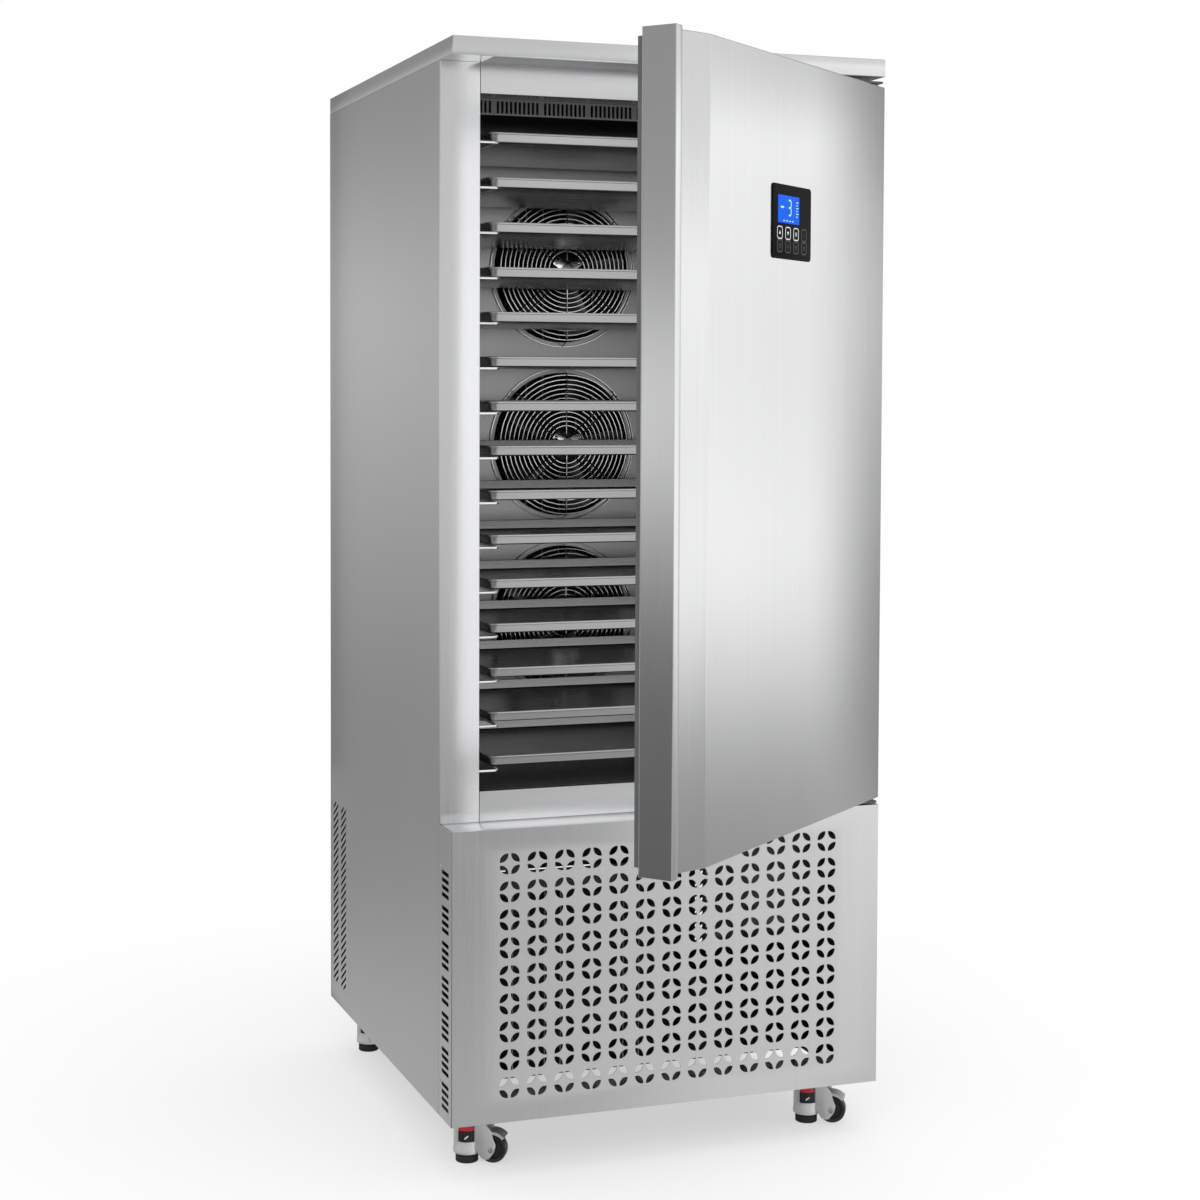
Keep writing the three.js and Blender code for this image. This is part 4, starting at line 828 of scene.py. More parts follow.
@dataclass
class Studio:
    """The camera, the floor, the lamps and the world."""

    place: Place = (-1.4553, -3.6496, 1.3409)
    azimuth: float = -18.91
    pitch: float = -2.41
    roll: float = 0.15
    lens: float = 65.41
    shift: Flat = (0.0605, -0.10)
    floor_half: float = 30.0
    floor_white: Flat = (0.55, 1.0)
    shadow_reach: Flat = (0.7, 2.2)
    plain: float = 0.9

    def build(self) -> None:
        """Makes everything that isn't the object."""
        self.camera()
        self.floor()
        self.lamps()
        self.world()

    def camera(self) -> None:
        """The camera at the photograph's viewing angle."""
        az, pitch, roll = (math.radians(a) for a in (self.azimuth, self.pitch, self.roll))
        level = math.cos(pitch)
        forward = Vector((-math.sin(az) * level, math.cos(az) * level, math.sin(pitch)))
        right = Vector((math.cos(az), math.sin(az), 0))
        up = right.cross(forward)
        cosine, sine = math.cos(roll), math.sin(roll)
        right, up = right * cosine + up * sine, up * cosine - right * sine
        data = bpy.data.cameras.new("camera")
        data.lens, data.sensor_width = self.lens, 36.0
        data.shift_x, data.shift_y = self.shift
        data.clip_end = 200.0
        camera = bpy.data.objects.new("camera", data)
        turn = Matrix((right, up, -forward)).transposed().to_4x4()
        camera.matrix_world = Matrix.Translation(self.place) @ turn
        bpy.context.scene.collection.objects.link(camera)
        bpy.context.scene.camera = camera

    def floor(self) -> None:
        """A plain pale floor that keeps the object's soft shadow."""
        bm = bmesh.new()
        bmesh.ops.create_grid(bm, x_segments=1, y_segments=1, size=self.floor_half)
        mesh = bpy.data.meshes.new("floor")
        bm.to_mesh(mesh)
        bm.free()
        floor = bpy.data.objects.new("floor", mesh)
        bpy.context.scene.collection.objects.link(floor)
        material = bpy.data.materials.new("studio_floor")
        material.use_nodes = True
        bench = Bench(material.node_tree)
        inputs = {"Base Color": (0.95, 0.95, 0.95, 1), "Roughness": 0.9, "Specular IOR Level": 0.0}
        matt = bench.add("ShaderNodeBsdfPrincipled", {}, inputs, "BSDF")
        white = bench.add("ShaderNodeEmission", {}, {"Color": (1, 1, 1, 1), "Strength": 1.0})
        reach = bench.add("ShaderNodeVectorMath", {"operation": "LENGTH"}, {0: bench.place()}, 1)
        seen = bench.add("ShaderNodeLightPath", output="Is Camera Ray")
        near, far = self.floor_white
        share = seen * (near + (far - near) * reach.between(*self.shadow_reach))
        mixed = bench.add("ShaderNodeMixShader", {}, {0: share, 1: matt, 2: white})
        bench.add("ShaderNodeOutputMaterial", {}, {"Surface": mixed})
        mesh.materials.append(material)
        floor.visible_glossy = False

    def lamps(self) -> None:
        """Two large soft lamps outside, and a bounce card in the open door's lee."""
        bounce = Matrix.Scale(MM, 4) @ DOOR
        card, inward = bounce @ Vector((-392, 60, 1241)), bounce @ Vector((-392, 500, 1241))
        wanted = (
            ("key", (-3.2, -4.2, 3.6), (0.0, -0.1, 1.0), (3.0, 3.0), 60.0),
            ("top", (0.8, -1.2, 5.0), (0.0, 0.0, 1.0), (3.5, 3.5), 55.0),
            ("card", card, inward, (0.74, 1.22), 2.2),
        )
        for name, spot, aim, size, power in wanted:
            data = bpy.data.lights.new(name, "AREA")
            data.shape, data.energy = "RECTANGLE", power
            data.size, data.size_y = size
            lamp = bpy.data.objects.new(name, data)
            lamp.location = spot
            lamp.rotation_mode = "QUATERNION"
            lamp.rotation_quaternion = (Vector(aim) - Vector(spot)).to_track_quat("-Z", "Y")
            lamp.visible_glossy = name == "card"
            lamp.visible_camera = False
            bpy.context.scene.collection.objects.link(lamp)

    def world(self) -> None:
        """White to the camera, even light, and a soft studio for the metal to mirror."""
        world = bpy.data.worlds.new("studio")
        world.use_nodes = True
        bench = Bench(world.node_tree)
        way = bench.add("ShaderNodeTexCoord", output="Generated")
        split = {i: bench.add("ShaderNodeSeparateXYZ", {}, {0: way}, i) for i in range(3)}
        height = (split[2] + SKY_REACH) / (2 * SKY_REACH)
        turn = height.math("ARCTAN2", split[1], split[0]) * (180 / math.pi)
        tones = {side: self.band(bench, height, stops) for side, stops in SKY.items()}
        tone = tones["left"]
        for side, first, last in SECTORS:
            share = turn.between(first, last)
            tone = tone + (tones[side] - tone) * share
        path = {
            name: bench.add("ShaderNodeLightPath", output=name)
            for name in ("Is Camera Ray", "Is Glossy Ray", "Is Transmission Ray")
        }
        glossy = path["Is Glossy Ray"]
        clear = glossy.math("MAXIMUM", path["Is Camera Ray"], path["Is Transmission Ray"])
        level = self.plain + (tone - self.plain) * glossy
        level = level + (1.0 - level) * clear
        sky = bench.add("ShaderNodeBackground", {}, {"Color": (1, 1, 1, 1), "Strength": level})
        bench.add("ShaderNodeOutputWorld", {}, {"Surface": sky})
        bpy.context.scene.world = world

    @staticmethod
    def band(bench: Bench, height: Signal, stops: Sequence[Flat]) -> Signal:
        """One side's brightness by the height of the ray.

        Args:
            bench: The world's tree.
            height: The ray's height, from 0 to 1 over the bands' reach.
            stops: Pairs of height and brightness.

        Returns:
            The brightness.
        """
        placed = [((z + SKY_REACH) / (2 * SKY_REACH), level) for z, level in stops]
        ramp = bench.add("ShaderNodeValToRGB", {"stops": placed}, {0: height}, 0)
        return bench.add("ShaderNodeSeparateColor", {}, {0: ramp}, 0)


@dataclass
class PiercedCover:
    """Front cover of the machine compartment: clover-pierced face and slotted sides."""

    columns: int = 13
    rows: int = 9
    pitch_x: float = 49.5
    pitch_z: float = 47.9
    petal_reach: float = 18.0
    petal_bridge: float = 2.4
    petal_bulge: float = 5.3
    petal_steps: int = 5
    slot_groups: int = 7
    slots: int = 4
    slot_pitch: float = 12.6
    slot_size: Flat = (41.0, 7.2)
    slot_rise: float = 0.5
    group_pitch: float = 60.7
    first_group: float = 42.0
    overhang: float = 73.0
    ledge_margin: float = 3.0
    ledge_drop: Flat = (1.3, 0.1)
    screws: tuple[Flat, ...] = ((-9.0, 528.0), (-9.0, 160.0))
    screw_radius: float = 4.5
    screw_sink: float = 1.0

    def petal(self, u: float, v: float, quarter: int) -> list[Flat]:
        """One lens-shaped petal.

        Args:
            u: The clover's middle across.
            v: The clover's middle up.
            quarter: Which of the four.

        Returns:
            Its outline.
        """
        tip = math.sqrt(self.petal_reach ** 2 - self.petal_bridge ** 2)
        bulge = self.petal_bulge
        a, b = (tip, self.petal_bridge), (self.petal_bridge, tip)
        chord = math.dist(a, b)
        radius = (chord / 2) ** 2 / (2 * bulge) + bulge / 2
        half = math.degrees(math.asin(chord / 2 / radius))
        lens = []
        for side in (45.0, 225.0):
            reach = radius - bulge
            middle_u = (a[0] + b[0]) / 2 - reach * math.cos(math.radians(side))
            middle_v = (a[1] + b[1]) / 2 - reach * math.sin(math.radians(side))
            lens += arc(
                (middle_u, middle_v), radius, side - half, side + half, self.petal_steps)[:-1]
        turn = Matrix.Rotation(quarter * math.pi / 2, 2)
        return [tuple(Vector((u, v)) + turn @ Vector(stop)) for stop in lens]

    def holes(self) -> list[list[Flat]]:
        """Every hole of the unfolded sheet: u from the left return to the right one, v up.

        Returns:
            The holes' outlines.
        """
        middle = (BODY_BOTTOM + COMPARTMENT_TOP) / 2
        holes = []
        for row in range(self.rows):
            for column in range(self.columns):
                u = (column - (self.columns - 1) / 2) * self.pitch_x
                v = middle + (row - (self.rows - 1) / 2) * self.pitch_z
                holes += [self.petal(u, v, quarter) for quarter in range(4)]
        for group in range(self.slot_groups):
            for i in range(self.slots):
                start = BODY_BOTTOM + self.first_group + group * self.group_pitch
                v = start + (i - (self.slots - 1) / 2) * self.slot_pitch
                for side in (-1, 1):
                    u = side * (SIDE + self.overhang / 2)
                    holes.append(slanted_slot(u, v, *self.slot_size, side * self.slot_rise))
        return holes

    def build(self) -> None:
        """The folded sheet with its top ledge, and its screws."""
        form = Form()
        reach = SIDE + self.overhang - GAP
        outline = [(-reach, BODY_BOTTOM), (reach, BODY_BOTTOM), (reach, COMPARTMENT_TOP),
                   (-reach, COMPARTMENT_TOP)]
        form.sheet(outline, self.holes())
        form.move(Matrix.Translation((0, -self.overhang, 0)) @ FORWARD)
        for side in (-1, 1):
            corner = Vector((side * SIDE, -self.overhang, 0))
            form.fold(corner, X * side, Y)
        form.thicken(form.bm.faces)
        half, (foot, top) = SIDE - self.ledge_margin, self.ledge_drop
        low = (-half, GAP + SHEET - self.overhang, COMPARTMENT_TOP - foot)
        form.soft_block(low, (half, -GAP, COMPARTMENT_TOP - top), 0.4, 2)
        form.finish("front_cover_sheet", STEEL, "brushed_steel", stands_for=["front_cover"])
        screws = Form()
        for side in (-1, 1):
            for y, z in self.screws:
                spot = Vector((side * (SIDE - self.screw_sink), y, z))
                screw_head(screws, spot, X * side, self.screw_radius)
        screws.finish("front_cover_screws", CHROME, "chrome_wire")


def screw_head(form: Form, spot: Vector, out: Vector, radius: float) -> None:
    """A low domed screw head with a cross recess.

    Args:
        form: The form it is added to.
        spot: Where it sits.
        out: The way it faces.
        radius: Its radius.
    """
    rise = radius * 0.42
    profile = [(0, 0), (radius, 0), (radius, rise * 0.35), (radius * 0.78, rise * 0.8),
               (radius * 0.42, rise), (radius * 0.34, rise * 0.45), (0, rise * 0.3)]
    form.turned(profile, Matrix.Translation(spot) @ facing(out), 16)


@dataclass
class SidePanels:
    """Outer side panels: side, stile and return of one bent sheet each, with louvre slots."""

    depth: float = 773.9
    back: float = 774.4
    stile: float = 72.0
    inward: float = 16.0
    flange: float = 15.0
    columns: Flat = (44.0, 106.0)
    slots: int = 26
    first_slot: float = 137.0
    slot_pitch: float = 14.6
    slot_size: Flat = (41.0, 6.0)
    slot_rise: float = -26.0
    end_slot: tuple[float, float, float] = (22.0, 6.0, -14.0)
    end_shift: Flat = (9.0, -6.0)

    def build(self) -> None:
        """Both panels."""
        for side, name in ((-1, "left"), (1, "right")):
            self.panel(side, name)

    def louvres(self) -> list[list[Flat]]:
        """The louvre slots, with a short one at both ends of each column.

        Returns:
            Their outlines.
        """
        shift_u, shift_v = self.end_shift
        slots = []
        for column in self.columns:
            u = self.back - column
            for i in range(self.slots):
                v = self.first_slot + i * self.slot_pitch
                end = {0: -1, self.slots - 1: 1}.get(i, 0)
                if end:
                    slots.append(slanted_slot(u + end * shift_u, v + end * shift_v, *self.end_slot))
                else:
                    slots.append(slanted_slot(u, v, *self.slot_size, self.slot_rise))
        return slots

    def panel(self, side: int, name: str) -> None:
        """One panel, drawn unfolded with u backwards from the front edge and v up.

        Args:
            side: -1 on the left, 1 on the right.
            name: The side's name.
        """
        top, foot = WORKTOP_UNDERSIDE - GAP, COMPARTMENT_TOP + SHEET + GAP
        flange, stile, inward = self.depth + self.flange, -self.stile, -self.stile - self.inward
        outline = [
            (0, BODY_BOTTOM), (self.depth, BODY_BOTTOM), (self.depth, foot), (flange, foot),
            (flange, top), (stile, top), (stile, CHAMBER_TOP), (inward, CHAMBER_TOP),
            (inward, CHAMBER_BOTTOM), (stile, CHAMBER_BOTTOM), (stile, COMPARTMENT_TOP),
            (0, COMPARTMENT_TOP),
        ]
        form = Form()
        form.sheet(outline, self.louvres())
        upright = Matrix((Y, Z, X)).transposed().to_4x4()
        form.move(Matrix.Translation((side * SIDE, 0, 0)) @ upright)
        inner = X * -side
        form.fold(Vector((side * SIDE, -self.stile, 0)), -Y, inner, 1.8)
        form.fold(Vector((side * SIDE, 0, 0)), -Y, inner, 2.2)
        form.fold(Vector((side * SIDE, self.depth, 0)), Y, inner, 1.8)
        if side < 0:
            bmesh.ops.reverse_faces(form.bm, faces=form.bm.faces)
        form.thicken(form.bm.faces)
        form.finish(
            f"{name}_side_sheet", STEEL, "brushed_steel", stands_for=[f"{name}_side_panel"])


@dataclass
class Worktop:
    """Worktop: folded panel over the whole top, with a hollow under its overhang whose faces are
    painted black as painted shade.
    """

    front: float = -73.0
    back: float = 774.4
    top: float = 1923.0
    edge: float = 1.6
    hollow: tuple[float, float, float, float] = (-327.0, 397.0, -69.0, -1.5)
    hollow_depth: float = 16.0

    def build(self) -> None:
        """The panel."""
        form = Form()
        verts = form.block((-SIDE, self.front, WORKTOP_UNDERSIDE), (SIDE, self.back, self.top))
        form.bevel(form.sharp(verts), self.edge, 3)
        u0, u1, v0, v1 = self.hollow
        form.split(lambda f: f.normal.z < -0.99, ((X, u0), (X, u1), (Y, v0), (Y, v1)))
        middle = Vector(((u0 + u1) / 2, (v0 + v1) / 2, WORKTOP_UNDERSIDE))
        under = [
            f for f in form.bm.faces
            if f.normal.z < -0.99 and (f.calc_center_median() - middle).length < 1]
        form.mark(0)
        form.inset(under, (0.6, -self.hollow_depth))
        # The pocket's roof and walls take black paint: painted shade under the worktop's overhang.
        for face in under:
            face.material_index = 1
        form.mark(1)
        form.finish(
            "worktop_panel", [STEEL_ACROSS, BLACK_PAINT], "brushed_steel", stands_for=["worktop"])


@dataclass
class CeilingDuct:
    """Ceiling duct: its slotted front and its floor, one bent sheet."""

    groups: int = 8
    group_pitch: float = 86.6
    first_group: float = -328.0
    slots: int = 10
    slot_pitch: float = 8.0
    slot_width: float = 4.4
    slot_height: float = 21.0
    slot_corner: float = 1.6
    margin: float = 6.0
    setback: float = 60.0
    foot: float = 1811.0

    def build(self) -> None:
        """The duct."""
        half = OPENING_HALF - GAP
        front_top, front_foot = CHAMBER_TOP - GAP, self.foot
        middle = (front_foot + CHAMBER_TOP) / 2
        floor_depth = FAN_PLATE - GAP - self.setback
        holes = []
        for group in range(self.groups):
            for i in range(self.slots):
                u = (self.first_group + group * self.group_pitch
                     + (i - (self.slots - 1) / 2) * self.slot_pitch)
                low = (u - self.slot_width / 2, middle - self.slot_height / 2)
                high = (u + self.slot_width / 2, middle + self.slot_height / 2)
                if abs(u) <= half - self.margin:
                    holes.append(rounded(low, high, self.slot_corner, 2))
        form = Form()
        outline = [(-half, front_foot - floor_depth), (half, front_foot - floor_depth),
                   (half, front_top), (-half, front_top)]
        form.sheet(outline, holes)
        form.move(Matrix.Translation((0, self.setback, 0)) @ FORWARD)
        form.fold(Vector((0, self.setback, front_foot)), -Z, Y, 1.8)
        form.thicken(form.bm.faces)
        # The duct's near-black steel is painted shade.
        form.finish("air_duct_sheet", DUCT_STEEL_PAINTED_SHADE, "dark_steel", stands_for=["air_duct"])


@dataclass
class Evaporation:
    """The fan plate with its three guards, motors and rotors."""

    opening: float = 142.0
    guard_radius: float = 150.0
    rise: float = 30.0
    wire: float = 1.3
    rings: int = 12
    first_ring: float = 37.0
    rim_width: float = 14.0
    spoke_angles: tuple[float, ...] = (42.0, 138.0, 222.0, 318.0)
    spoke_pair: float = 6.5
    shaft: float = 20.0
    rotor_tip: float = 130.0
    rotor_front: float = 3.7
    screw_heights: tuple[float, ...] = (700.0, 1061.0, 1401.0, 1800.0)
    screw_half: float = 300.0
    knob_heights: tuple[float, ...] = (1061.0, 1401.0, 1750.0)
    knob_half: float = 228.0

    def build(self) -> None:
        """Plate, guards, motors and rotors."""
        self.plate()
        for number, z in enumerate(FAN_HEIGHTS, 1):
            self.guard(number, z)
            self.motor(number, z)
            Rotor(
                f"fan_rotor_{number}_blades", f"fan_{number}", f"fan_rotor_{number}",
                Vector((0, FAN_PLATE - self.rotor_front, z)), self.rotor_tip).build()

    def plate(self) -> None:
        """The fan plate, with rolled collars and its fixing screws."""
        half = OPENING_HALF - GAP
        z0, z1 = CHAMBER_BOTTOM + GAP, CHAMBER_TOP - GAP
        form = Form()
        holes = [arc((0, z), self.opening, 0, 360, 48)[:-1] for z in FAN_HEIGHTS]
        form.sheet([(-half, z0), (half, z0), (half, z1), (-half, z1)], holes)
        form.move(Matrix.Translation((0, FAN_PLATE, 0)) @ FORWARD)
        form.thicken(form.bm.faces)
        for z in FAN_HEIGHTS:
            collar = [(self.opening + 3, 1.3), (self.opening, 2.2), (self.opening - 0.6, 6.0),
                      (self.opening - 0.6, 9.0), (self.opening - 1.6, 9.0),
                      (self.opening - 1.6, 1.3)]
            form.turned(collar, Matrix.Translation((0, FAN_PLATE, z)) @ BACKWARD, 48, True)
        form.mark(0)
        for z in self.screw_heights:
            for x in (-self.screw_half, self.screw_half):
                screw_head(form, Vector((x, FAN_PLATE, z)), -Y, 5.0)
        knob = [
            (0, 0), (11, 0), (11, 3), (7, 5), (7, 9), (12, 11), (13, 17), (11, 20), (0, 20.5)]
        for z in self.knob_heights:
            for x in (-self.knob_half, self.knob_half):
                form.turned(knob, Matrix.Translation((x, FAN_PLATE, z)) @ FORWARD, 20)
        form.mark(1)
        form.finish(
            "fan_plate_sheet", [LINER_STEEL, CHROME], "dark_steel", stands_for=["fan_plate"])

    def guard(self, number: int, z: float) -> None:
        """One wire guard: rings, a pair of spokes each way on the slant, and two upright ones.

        Args:
            number: The fan's number.
            z: The fan's height.
        """
        middle = Vector((0, FAN_PLATE, z))
        towards = Matrix.Translation(middle) @ FORWARD
        form = Form()
        crown, w = self.rise - 2 * self.wire, self.wire
        section = [(math.cos(a * math.pi / 3) * w, math.sin(a * math.pi / 3) * w) for a in range(6)]
        first, last = self.first_ring, self.guard_radius - self.rim_width
        radii = [first + (last - first) * i / (self.rings - 1) for i in range(self.rings)]
        places = [(r, crown - w) for r in radii] + [(self.guard_radius - 1, 2.6)]
        for radius, height in places:
            form.turned([(radius + a, height + b) for a, b in section], towards, 40, True)
        pair = self.spoke_pair
        spokes = [(a, side) for a in self.spoke_angles for side in (-pair, pair)]
        for degrees, aside in (*spokes, (90, 0), (270, 0)):
            turn = Matrix.Rotation(math.radians(-degrees), 3, "Y")
            stops = [(20, crown + w), (last - 2, crown + w), (last + 3, crown - 1.2),
                     (self.guard_radius - 5, 8), (self.guard_radius - 2, 4.5),
                     (self.guard_radius - 1, 2.0)]
            form.wire([middle + turn @ Vector((r, -h, aside)) for r, h in stops], w, 6)
        form.finish(
            f"fan_guard_{number}_wires", CHROME, "chrome_wire", stands_for=[f"fan_guard_{number}"])

    def motor(self, number: int, z: float) -> None:
        """One motor with its shaft, and the bracket with four arms that carries it.

        Args:
            number: The fan's number.
            z: The fan's height.
        """
        middle = Vector((0, FAN_PLATE, z))
        towards = Matrix.Translation(middle) @ FORWARD
        form = Form()
        can = [(0, 4), (30, 4), (33, 6), (33, 12), (34, 13), (34, 20), (31, 24), (22, 26.5),
               (0, 26.5)]
        form.turned(can, towards, 24)
        form.bar(middle, middle + Y * self.shaft, 4, 12)
        form.mark(0)
        arms = [
            (15, 0), (31, 12), (24, 23), (0, 12), (-24, 23), (-31, 12), (-15, 0), (-31, -12),
            (-24, -23), (0, -12), (24, -23), (31, -12)]
        form.soft_prism(arms, self.rise, self.rise + 2.4, 0.7, 2)
        form.move(towards, form.fresh())
        form.mark(1)
        boss = [(0, 1.0), (13, 1.0), (13, 2.6), (11, 3.4), (0, 3.6)]
        form.turned([(r, self.rise + h) for r, h in boss], towards, 24)
        for u, v in ((-23, -14), (-23, 14), (23, -14), (23, 14)):
            screw_head(form, middle + Vector((u, -self.rise - 2.3, v)), -Y, 3.6)
        form.mark(1)
        form.finish(f"fan_motor_{number}", [BLACK_PAINT, CHROME], "black_paint")


@dataclass
class Rotor:
    """A fan rotor with five cambered, twisted blades."""

    name: str
    body: str
    node: str
    foot: Vector
    tip: float
    length: float = 26.0
    blades: int = 5
    root: float = 30.0
    pitches: Flat = (40.0, 24.0)
    widths: Flat = (38.0, 72.0)
    tip_round: float = 0.25
    thickness: float = 1.6
    camber: float = 3.0
    play: float = 0.6

    def build(self) -> None:
        """The hub and its blades."""
        form = Form()
        length, place = self.length, Matrix.Translation(self.foot) @ BACKWARD
        hub = [
            (5, 1), (28, 0.2), (31.5, 3), (32, length - 2), (30, length - 0.3), (5, length - 0.3)]
        form.turned(hub, place, 30, True)
        form.mark(0)
        for blade in range(self.blades):
            grid = bmesh.ops.create_grid(form.bm, x_segments=10, y_segments=6, size=0.5)["verts"]
            for vert in grid:
                vert.co = self.bent(vert.co.x + 0.5, vert.co.y)
            form.thicken(around(grid), self.thickness)
            turn = Matrix.Rotation(blade * 2 * math.pi / self.blades, 4, "Z")
            form.move(place @ turn, form.fresh())
            form.mark(0)
        form.finish(self.name, ROTOR_METAL, "dark_steel", self.body, CABINET, [self.node])

    def bent(self, share: float, chord: float) -> Place:
        """Where a point of a flat blade goes.

        Args:
            share: Its place from the root, 0, to the tip, 1.
            chord: Its place across the blade, from -0.5 to 0.5.

        Returns:
            Its place on the rotor.
        """
        pitch, width = (a + (b - a) * share for a, b in (self.pitches, self.widths))
        pitch, width = math.radians(pitch), width * (1 - self.tip_round * share ** 6)
        run, camber = chord * width, self.camber * (1 - 4 * chord * chord)
        across = run * math.cos(pitch) + camber * math.sin(pitch)
        along = run * math.sin(pitch) - camber * math.cos(pitch)
        most = self.length / 2 - self.play
        reach = self.root + share * (self.tip - self.root - 0.5)
        return reach, across, self.length / 2 + max(-most, min(most, along))


@dataclass
class TrayStack:
    """Wire racks and the fifteen trays on their runners."""

    count: int = 15
    pitch: float = 77.1
    top_rim: float = 1781.0
    width: float = 600.0
    depth: float = 400.0
    height: float = 18.0
    setback: float = 40.0
    corner: float = 18.0
    rim: float = 5.0
    wall: float = 0.9
    floor_lift: float = 3.2
    roll: tuple[Flat, ...] = ((-0.7, 0.75), (-1.3, 0.25), (-1.3, -0.2), (-0.7, -0.9))
    wire: float = 5.0
    leg: float = 287.5
    front: float = 20.0
    back: float = 442.5
    bend: float = 9.0
    strip_depth: float = 3.0
    strip_half: float = 6.0

    def build(self) -> None:
        """Both racks and every tray."""
        for side, name in ((-1, "left"), (1, "right")):
            self.rack(side, name)
        for number in range(self.count):
            self.tray(number)

    def rack(self, side: int, name: str) -> None:
        """Two screwed strips on the wall and fifteen bent wires.

        Args:
            side: -1 on the left, 1 on the right.
            name: The side's name.
        """
        form = Form()
        wall, reach, bend = OPENING_HALF - SHEET, self.leg + self.bend, self.bend
        top = self.top_rim - self.height
        for i in range(self.count):
            z = top - i * self.pitch - GAP - self.wire / 2
            turn_front = arc((reach, self.front + bend), bend, 270, 180, 4)
            turn_back = arc((reach, self.back - bend), bend, 180, 90, 4)
            flat = [(wall, self.front), *turn_front, *turn_back, (wall, self.back)]
            form.wire([Vector((side * x, y, z)) for x, y in flat], self.wire / 2, 8)
        form.mark(0)
        outer = OPENING_HALF - GAP
        x0, x1 = sorted((side * outer, side * (outer - self.strip_depth)))
        for y in (self.front, self.back):
            low = (x0, y - self.strip_half, CHAMBER_BOTTOM + GAP)
            form.soft_block(low, (x1, y + self.strip_half, top), 0.8, 2)
            for z in (CHAMBER_BOTTOM + 22, 1230, top - 16):
                screw_head(form, Vector((side * (OPENING_HALF - 3.2), y, z)), X * -side, 4.0)
        form.mark(1)
        form.outward()
        form.finish(
            f"{name}_rack_wires", [CHROME, STEEL_DULL], "chrome_wire", stands_for=[f"{name}_rack"])

    def tray(self, number: int) -> None:
        """One drawn tray with a rolled rim.

        Args:
            number: Its number from the top, from 0.
        """
        form = Form()
        rim_z = self.top_rim - number * self.pitch
        half_x, half_y = self.width / 2 - 1.0, self.depth / 2 - 1.0
        outline = rounded((-half_x, -half_y), (half_x, half_y), self.corner, 8)
        faces = form.prism(outline, -1, 0)
        top = max(faces, key=lambda f: f.calc_center_median().z)
        flat, deep = self.rim - 1.6, self.floor_lift - self.height
        form.inset([top], (flat, 0.0), (0.9, -0.5), (2.6, deep), (1.4, -1.2), (3, -0.6))
        form.remove(f for f in faces if f != top)
        outer = [e for e in form.bm.edges if e.is_boundary]
        for drop, grow in self.roll:
            made = bmesh.ops.extrude_edge_only(form.bm, edges=outer)["geom"]
            verts = [g for g in made if isinstance(g, BMVert)]
            outer = [g for g in made if isinstance(g, BMEdge)]
            for vert in verts:
                pull = Vector((
                    max(0.0, abs(vert.co.x) - half_x + self.corner),
                    max(0.0, abs(vert.co.y) - half_y + self.corner), 0))
                if pull.length > 1e-6:
                    pull.normalize()
                vert.co += Vector((
                    math.copysign(pull.x, vert.co.x) * grow,
                    math.copysign(pull.y, vert.co.y) * grow, drop))
        form.outward()
        if top.normal.z < 0:
            bmesh.ops.reverse_faces(form.bm, faces=form.bm.faces)
        form.thicken(form.bm.faces, self.wall)
        form.move(Matrix.Translation((0, self.setback + self.depth / 2, rim_z)))
        name = f"tray_{number + 1:02d}"
        form.finish(f"{name}_pan", TRAY_STEEL, "tray_steel", name, CABINET, [name], 24)


